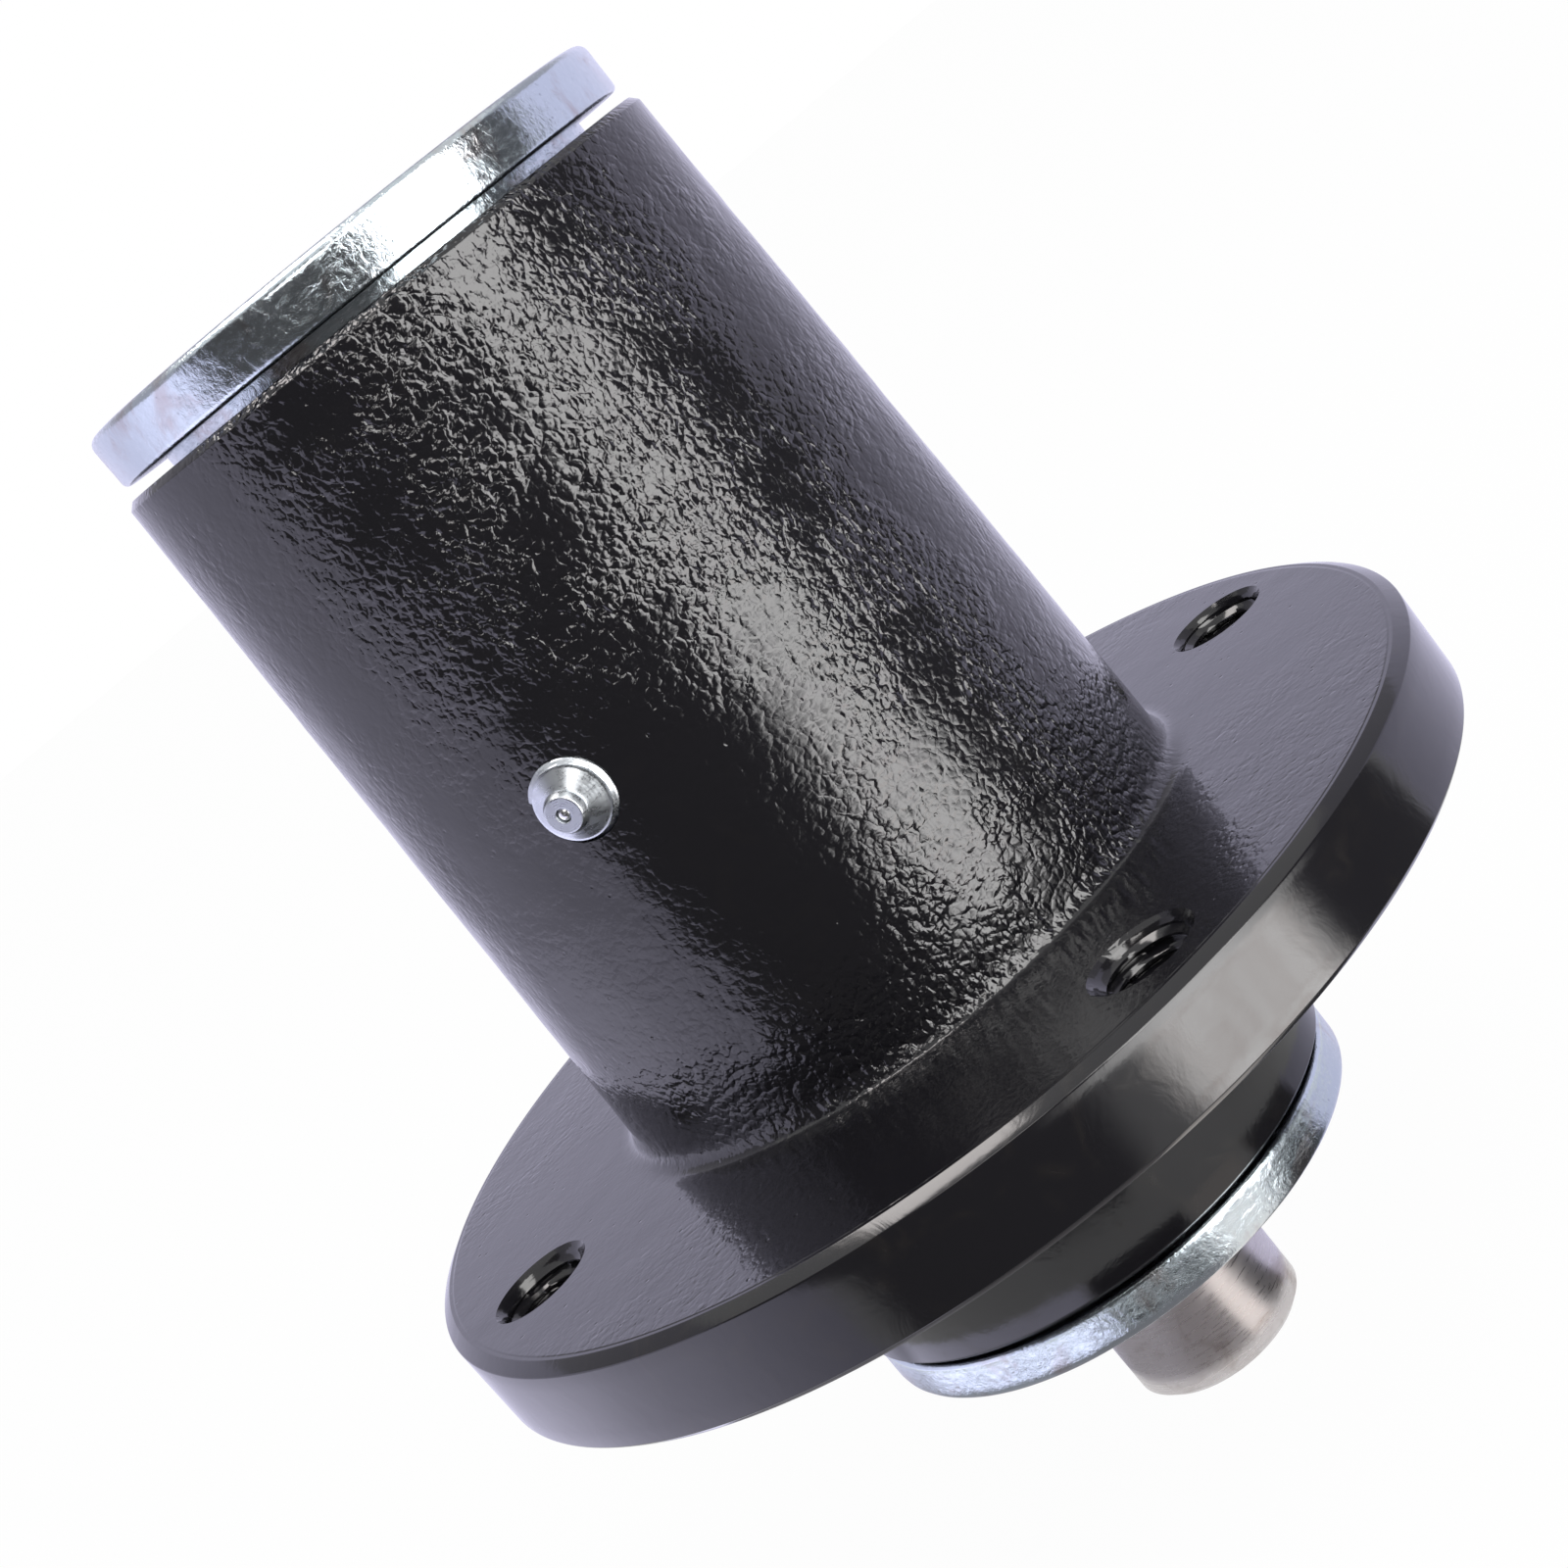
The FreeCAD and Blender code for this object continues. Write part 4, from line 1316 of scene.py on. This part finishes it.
# Studio


@dataclass(frozen=True)
class Card:
    """A card bent round the spindle's axis, seen only in the spindle's reflections.

    Attributes:
        name: Name of the card.
        section: Places that its section runs through, as (radius, height, start, end), with
            radius and height in mm. Start and end are the azimuths of its left and right side
            there, from the camera's side to the right, in degrees.
        strength: Brightness of its face, where 1 is white.
        colour: Colour of its face.
        soft_edge: Azimuth over which each side fades out, in degrees.
        mottle: Size of its warm, duller mottles in mm, or 0 for an even card.
    """

    name: str
    section: tuple[tuple[float, float, float, float], ...]
    strength: float
    colour: tuple[float, float, float, float] = (1.0, 1.0, 1.0, 1.0)
    soft_edge: float = 6.0
    mottle: float = 0.0


@dataclass(frozen=True)
class Arch:
    """A strip of light bent over the spindle, seen only in its reflections.

    Attributes:
        name: Name of the strip.
        radius: Radius of the arch about the spindle's middle, in mm.
        start: Elevation at which it starts on the camera's side, in degrees.
        end: Angle at which it ends, past the zenith when above 90, in degrees.
        left: Distance of its left side to the left of the axis, in mm.
        right: Distance of its right side to the right of the axis, in mm.
        strength: Brightness of its face, where 1 is white.
        colour: Colour of its face.
    """

    name: str
    radius: float
    start: float
    end: float
    left: float
    right: float
    strength: float
    colour: tuple[float, float, float, float] = (1.0, 1.0, 1.0, 1.0)


@dataclass(frozen=True)
class Softbox:
    """A rectangular lamp aimed at the spindle.

    Attributes:
        name: Name of the lamp.
        azimuth: Turn from the camera's side, to the right, in degrees.
        elevation: Angle above the horizon, in degrees.
        distance: Distance from the spindle's middle, in mm.
        width: Width in mm.
        height: Height in mm.
        radiance: Brightness of its face, where 1 is white.
        colour: Colour of its light.
    """

    name: str
    azimuth: float
    elevation: float
    distance: float
    width: float
    height: float
    radiance: float
    colour: tuple[float, float, float] = (1.0, 1.0, 1.0)


@dataclass
class Studio:
    """Pale floor, white surroundings, lamps, bent cards and the camera."""

    camera_place: tuple[float, float, float] = (-93.38, -303.16, 111.21)
    camera_aim: tuple[float, float, float] = (0.75, -0.23, 37.26)
    camera_roll: float = 39.185
    focal_length: float = 59.846
    sensor_width: float = 36.0
    middle: tuple[float, float, float] = (0.0, 0.0, 45.0)
    floor_half_width: float = 4000.0
    floor_white_share: float = 0.97
    diffuse_world: float = 0.62
    cards: tuple[Card, ...] = (
        Card("pale_tent", ((150.0, -58.2, 78.0, 325.0), (760.0, -58.2, 85.0, 312.0), (760.0, 420.0, 82.0, 304.0)), 1.18, (0.80, 0.78, 1.0, 1.0), 2.0),
        Card("high_tent", ((760.0, 420.0, 82.0, 304.0), (760.0, 900.0, 80.0, 295.0)), 0.62, (0.90, 0.88, 1.0, 1.0), 2.0),
        Card("left_glow_card", ((600.0, -58.1, 230.0, 325.0), (745.0, -58.1, 232.0, 325.0), (745.0, 420.0, 235.0, 325.0)), 1.70, (0.81, 0.79, 1.0, 1.0), 40.0),
        Card("left_floor_card", ((150.0, -58.1, 225.0, 325.0), (600.0, -58.1, 230.0, 325.0)), 2.20, (0.81, 0.79, 1.0, 1.0), 40.0),
        Card("pale_foot_card", ((16.0, -58.0, 66.0, 335.0), (99.0, -58.0, 66.0, 335.0)), 1.0, (0.80, 0.79, 1.0, 1.0), 4.0),
        # Painted shade: the next two dim cards lie under the flange and are seen only in reflections. They stand in for
        # the flange's shadow on the floor.
        Card("painted_shade_foot_card", ((16.0, -57.9, -110.0, 80.0), (76.0, -57.9, -110.0, 80.0)), 0.27, (1.0, 0.94, 0.98, 1.0), 78.0),
        Card("painted_shade_shaft_card", ((16.0, -57.85, -150.0, -15.0), (76.0, -57.85, -150.0, -15.0)), 0.42, (0.95, 0.93, 1.0, 1.0), 55.0),
        Card("left_foot_card", ((78.0, -57.9, -110.0, -20.0), (99.0, -57.9, -110.0, -20.0)), 2.4, (0.80, 0.79, 1.0, 1.0), 12.0),
        Card("dark_foot_card", ((78.0, -57.8, -27.0, 16.0), (99.0, -57.8, -27.0, 16.0)), 0.03, (0.9, 0.95, 1.0, 1.0), 5.0),
        Card("bright_foot_card", ((16.0, -57.7, 13.0, 43.0), (99.0, -57.7, 13.0, 43.0)), 1.3, (1.0, 0.94, 0.90, 1.0), 7.0),
        Card("side_foot_card", ((16.0, -57.6, 43.0, 78.0), (99.0, -57.6, 42.0, 76.0)), 0.09, (0.95, 0.95, 1.0, 1.0), 5.0),
        Card(
            "dark_card",
            ((125.0, -57.9, -36.0, 9.0), (215.0, -57.9, -40.0, 11.0), (475.0, -57.9, -56.0, 12.0), (475.0, 150.0, -74.0, 14.0), (475.0, 560.0, -84.0, 14.0)),
            0.10,
            (1.0, 0.96, 0.97, 1.0),
            7.0,
        ),
        Card("strip_foot_card", ((150.0, -57.5, 14.0, 52.0), (300.0, -57.5, 13.0, 54.0)), 10.0, (1.0, 0.99, 0.98, 1.0), 9.0, 13.0),
        Card("strip_card", ((300.0, -57.5, -4.0, 64.0), (560.0, -57.5, -3.0, 64.0), (560.0, -25.0, 4.0, 60.0), (560.0, 40.0, 8.0, 56.0)), 9.2, (1.0, 0.99, 0.985, 1.0), 33.0),
        Card("strip_wall_card", ((558.0, 30.0, 11.0, 53.0), (558.0, 420.0, 11.0, 52.0)), 9.0, (1.0, 0.99, 0.98, 1.0), 8.0),
        Card("dark_side_card", ((125.0, -57.8, 48.0, 82.0), (540.0, -57.8, 53.0, 85.0), (540.0, 560.0, 53.0, 85.0)), 0.13, (0.95, 0.93, 1.0, 1.0), 4.0),
    )
    arches: tuple[Arch, ...] = (
        Arch("brow_strip", 470.0, 24.0, 40.0, 190.0, 10.0, 6.5, (1.0, 0.97, 0.95, 1.0)),
        Arch("overhead_strip", 470.0, 76.0, 112.0, 190.0, -20.0, 10.0, (1.0, 0.95, 0.93, 1.0)),
    )
    softboxes: tuple[Softbox, ...] = (
        Softbox("key_softbox", 34.0, 48.0, 700.0, 350.0, 350.0, 6.5, (1.0, 0.99, 0.97)),
    )

    def camera_azimuth(self) -> float:
        """Angle of the camera's place about Z, in radians."""
        return math.atan2(self.camera_place[1], self.camera_place[0])

    def make_camera(self) -> None:
        """Aim the camera and roll it about its own axis."""
        place = Vector(self.camera_place) * MM
        ahead = (Vector(self.camera_aim) * MM - place).normalized()
        level = ahead.cross(Vector((0.0, 0.0, 1.0))).normalized()
        upright = level.cross(ahead)
        roll = math.radians(self.camera_roll)
        up = upright * math.cos(roll) + level * math.sin(roll)
        right = ahead.cross(up)
        data = bpy.data.cameras.new("camera")
        data.lens = self.focal_length
        data.sensor_width = self.sensor_width
        camera = bpy.data.objects.new("camera", data)
        camera.matrix_world = Matrix.Translation(place) @ Matrix((right, up, -ahead)).transposed().to_4x4()
        bpy.context.scene.collection.objects.link(camera)
        bpy.context.scene.camera = camera

    def shown_ray(self, tree: bpy.types.NodeTree) -> bpy.types.NodeSocket:
        """One for camera, glossy and transmission rays, and nought for the rest."""
        path = tree.nodes.new("ShaderNodeLightPath")
        found = path.outputs["Is Camera Ray"]
        for other in ("Is Glossy Ray", "Is Transmission Ray"):
            larger = tree.nodes.new("ShaderNodeMath")
            larger.operation = "MAXIMUM"
            tree.links.new(found, larger.inputs[0])
            tree.links.new(path.outputs[other], larger.inputs[1])
            found = larger.outputs[0]
        return found

    def make_world(self) -> None:
        """White to the camera and in reflections, and a soft even light on matt surfaces."""
        world = bpy.data.worlds.new("studio")
        world.use_nodes = True
        tree = world.node_tree
        tree.nodes.clear()
        soft = tree.nodes.new("ShaderNodeBackground")
        soft.inputs["Color"].default_value = (1.0, 1.0, 1.0, 1.0)
        soft.inputs["Strength"].default_value = self.diffuse_world
        white = tree.nodes.new("ShaderNodeBackground")
        white.inputs["Color"].default_value = (1.0, 1.0, 1.0, 1.0)
        mix = tree.nodes.new("ShaderNodeMixShader")
        output = tree.nodes.new("ShaderNodeOutputWorld")
        tree.links.new(self.shown_ray(tree), mix.inputs[0])
        tree.links.new(soft.outputs[0], mix.inputs[1])
        tree.links.new(white.outputs[0], mix.inputs[2])
        tree.links.new(mix.outputs[0], output.inputs["Surface"])
        bpy.context.scene.world = world

    def make_floor(self, level: float) -> None:
        """A white floor that keeps the spindle's shadow.

        Args:
            level: Height of the floor in metres.
        """
        half = self.floor_half_width * MM
        corners = [(-half, -half, level), (half, -half, level), (half, half, level), (-half, half, level)]
        mesh = bpy.data.meshes.new("floor")
        mesh.from_pydata(corners, [], [(0, 1, 2, 3)])
        floor = bpy.data.objects.new("floor", mesh)
        bpy.context.scene.collection.objects.link(floor)
        material = bpy.data.materials.new("floor_white")
        material.use_nodes = True
        tree = material.node_tree
        tree.nodes.clear()
        share = tree.nodes.new("ShaderNodeMath")
        share.operation = "MULTIPLY"
        share.inputs[1].default_value = self.floor_white_share
        matt = tree.nodes.new("ShaderNodeBsdfDiffuse")
        matt.inputs["Color"].default_value = (1.0, 1.0, 1.0, 1.0)
        matt.inputs["Color"].default_value = (0.96, 0.96, 0.96, 1.0)
        white = tree.nodes.new("ShaderNodeEmission")
        white.inputs["Color"].default_value = (1.0, 1.0, 1.0, 1.0)
        mix = tree.nodes.new("ShaderNodeMixShader")
        output = tree.nodes.new("ShaderNodeOutputMaterial")
        tree.links.new(self.shown_ray(tree), share.inputs[0])
        tree.links.new(share.outputs[0], mix.inputs[0])
        tree.links.new(matt.outputs[0], mix.inputs[1])
        tree.links.new(white.outputs[0], mix.inputs[2])
        tree.links.new(mix.outputs[0], output.inputs["Surface"])
        mesh.materials.append(material)
        floor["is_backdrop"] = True

    def card_mesh(self, card: Card) -> bpy.types.Mesh:
        """Carry a card's section round the axis: (r, h) at the azimuth a goes to (r cos a, r sin a, h).

        The azimuth runs evenly from start to end at each place. The point attribute cover is the
        smaller of (a - start) and (end - a) over the soft edge, limited to 1.
        """
        section = np.array(card.section)
        share = np.linspace(0.0, 1.0, 61)[None]
        azimuth = section[:, 2:3] * (1.0 - share) + section[:, 3:4] * share
        turn = self.camera_azimuth() + np.radians(azimuth)
        radius = section[:, 0:1]
        height = np.broadcast_to(section[:, 1:2], turn.shape)
        grid = np.stack([radius * np.cos(turn), radius * np.sin(turn), height], axis=-1)
        cover = smooth_step(np.minimum(azimuth - section[:, 2:3], section[:, 3:4] - azimuth), 0.0, card.soft_edge)
        return self.faded_mesh(card.name, grid, cover)

    def arch_mesh(self, arch: Arch) -> bpy.types.Mesh:
        """Bend a strip over the spindle: the place at the angle e and the distance s to the right
        is middle + radius * (out cos e + up sin e) + side s. It fades out at its two ends."""
        turn = self.camera_azimuth()
        out = np.array([math.cos(turn), math.sin(turn), 0.0])
        side = np.array([-math.sin(turn), math.cos(turn), 0.0])
        angle = np.radians(np.linspace(arch.start, arch.end, 41))[:, None, None]
        across = np.linspace(-arch.left, arch.right, 9)[None, :, None]
        up = np.array([0.0, 0.0, 1.0])
        grid = np.array(self.middle) + arch.radius * (out * np.cos(angle) + up * np.sin(angle)) + side * across
        inside = np.minimum(angle - angle[0], angle[-1] - angle)[..., 0]
        cover = np.broadcast_to(smooth_step(inside, 0.0, math.radians(4.0)), grid.shape[:2])
        return self.faded_mesh(arch.name, grid, cover)

    def faded_mesh(self, name: str, grid: np.ndarray, cover: np.ndarray) -> bpy.types.Mesh:
        """Make an open sheet of a grid of points in mm, with its cover as a point attribute."""
        faces = grid_faces(grid.shape[0], grid.shape[1])[:, :-1].reshape(-1, 4)
        mesh = bpy.data.meshes.new(name)
        mesh.from_pydata(grid.reshape(-1, 3) * MM, [], faces.tolist())
        mesh.attributes.new("cover", "FLOAT", "POINT").data.foreach_set("value", cover.astype(np.float32).ravel())
        return mesh

    def make_reflector(self, card: Card | Arch, mesh: bpy.types.Mesh, mottle: float = 0.0) -> None:
        """Set one card or strip up, so that only glossy rays meet it.

        Args:
            card: Card or strip to set up.
            mesh: Its sheet.
            mottle: Size of its warm, duller mottles in mm, or 0 for an even sheet.
        """
        stand = bpy.data.objects.new(card.name, mesh)
        bpy.context.scene.collection.objects.link(stand)
        stand.visible_camera = False
        stand.visible_diffuse = False
        stand.visible_shadow = False
        stand.visible_transmission = False
        material = bpy.data.materials.new(card.name)
        material.use_nodes = True
        material.cycles.emission_sampling = "NONE"
        tree = material.node_tree
        tree.nodes.clear()
        glow = tree.nodes.new("ShaderNodeEmission")
        glow.inputs["Color"].default_value = card.colour
        glow.inputs["Strength"].default_value = card.strength
        if mottle:
            place = tree.nodes.new("ShaderNodeTexCoord")
            noise = tree.nodes.new("ShaderNodeTexNoise")
            noise.inputs["Scale"].default_value = 1.0 / (mottle * MM)
            noise.inputs["Detail"].default_value = 4.0
            noise.inputs["Distortion"].default_value = 1.2
            share = tree.nodes.new("ShaderNodeMapRange")
            share.inputs["From Min"].default_value = 0.42
            share.inputs["From Max"].default_value = 0.68
            tint = tree.nodes.new("ShaderNodeMix")
            tint.data_type = "RGBA"
            tint.inputs[6].default_value = card.colour
            tint.inputs[7].default_value = (0.62, 0.54, 0.51, 1.0)
            tree.links.new(place.outputs["Object"], noise.inputs["Vector"])
            tree.links.new(noise.outputs["Fac"], share.inputs["Value"])
            tree.links.new(share.outputs["Result"], tint.inputs["Factor"])
            tree.links.new(tint.outputs[2], glow.inputs["Color"])
        clear = tree.nodes.new("ShaderNodeBsdfTransparent")
        cover = tree.nodes.new("ShaderNodeAttribute")
        cover.attribute_name = "cover"
        mix = tree.nodes.new("ShaderNodeMixShader")
        output = tree.nodes.new("ShaderNodeOutputMaterial")
        tree.links.new(cover.outputs["Fac"], mix.inputs[0])
        tree.links.new(clear.outputs[0], mix.inputs[1])
        tree.links.new(glow.outputs[0], mix.inputs[2])
        tree.links.new(mix.outputs[0], output.inputs["Surface"])
        mesh.materials.append(material)
        stand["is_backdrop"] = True

    def make_softbox(self, box: Softbox) -> None:
        """Hang one lamp, with its power worked out as radiance * pi * area."""
        turn = self.camera_azimuth() + math.radians(box.azimuth)
        rise = math.radians(box.elevation)
        out = Vector((math.cos(turn) * math.cos(rise), math.sin(turn) * math.cos(rise), math.sin(rise)))
        data = bpy.data.lights.new(box.name, "AREA")
        data.shape = "RECTANGLE"
        data.size = box.width * MM
        data.size_y = box.height * MM
        data.energy = box.radiance * math.pi * data.size * data.size_y
        data.color = box.colour
        lamp = bpy.data.objects.new(box.name, data)
        lamp.location = (Vector(self.middle) + out * box.distance) * MM
        lamp.rotation_euler = out.to_track_quat("Z", "Y").to_euler()
        lamp.visible_camera = False
        bpy.context.scene.collection.objects.link(lamp)

    def build(self, floor_level: float) -> None:
        """Make the whole studio.

        Args:
            floor_level: Height of the floor in metres.
        """
        bpy.context.scene.view_settings.view_transform = "Standard"
        self.make_world()
        self.make_floor(floor_level)
        for card in self.cards:
            self.make_reflector(card, self.card_mesh(card), card.mottle)
        for arch in self.arches:
            self.make_reflector(arch, self.arch_mesh(arch))
        for box in self.softboxes:
            self.make_softbox(box)
        self.make_camera()


def main() -> None:
    """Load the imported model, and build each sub-assembly and the studio."""
    logging.basicConfig(level=logging.INFO, format="%(name)s %(message)s")
    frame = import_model()
    cad_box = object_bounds()
    shop = PaintShop()
    housing = CastHousing.from_frame()
    shop.dress(housing.build(), Finish.BLACK_CASTING, "casing", "housing")
    upper = EndCap("upper_cap", housing.barrel_top, 1, 37.2, 6.8, 1.5, 31.2)
    shop.dress(upper.build(), Finish.ZINC_PLATE, "rotor", "upper_cap")
    lower = EndCap("lower_cap", housing.boss_end, -1, 36.0, 6.1, 0.65, 29.0)
    shop.dress(lower.build(), Finish.ZINC_PLATE, "rotor", "lower_cap")
    shop.dress(SpindleShaft.from_frame().build(), Finish.GROUND_STEEL, "rotor", "shaft")
    fitting = GreaseFitting()
    shop.dress(fitting.build(), Finish.BRIGHT_ZINC, "casing", "grease_fitting")
    valve = CheckSpring(fitting)
    spring = valve.build()
    shop.dress(spring, Finish.SPRING_STEEL, "casing", "grease_check_spring")
    valve.shorten(spring)
    InnerParts().dress(shop, frame["nodes"])
    Studio().build(cad_box[0].z)


if __name__ == "__main__":
    main()
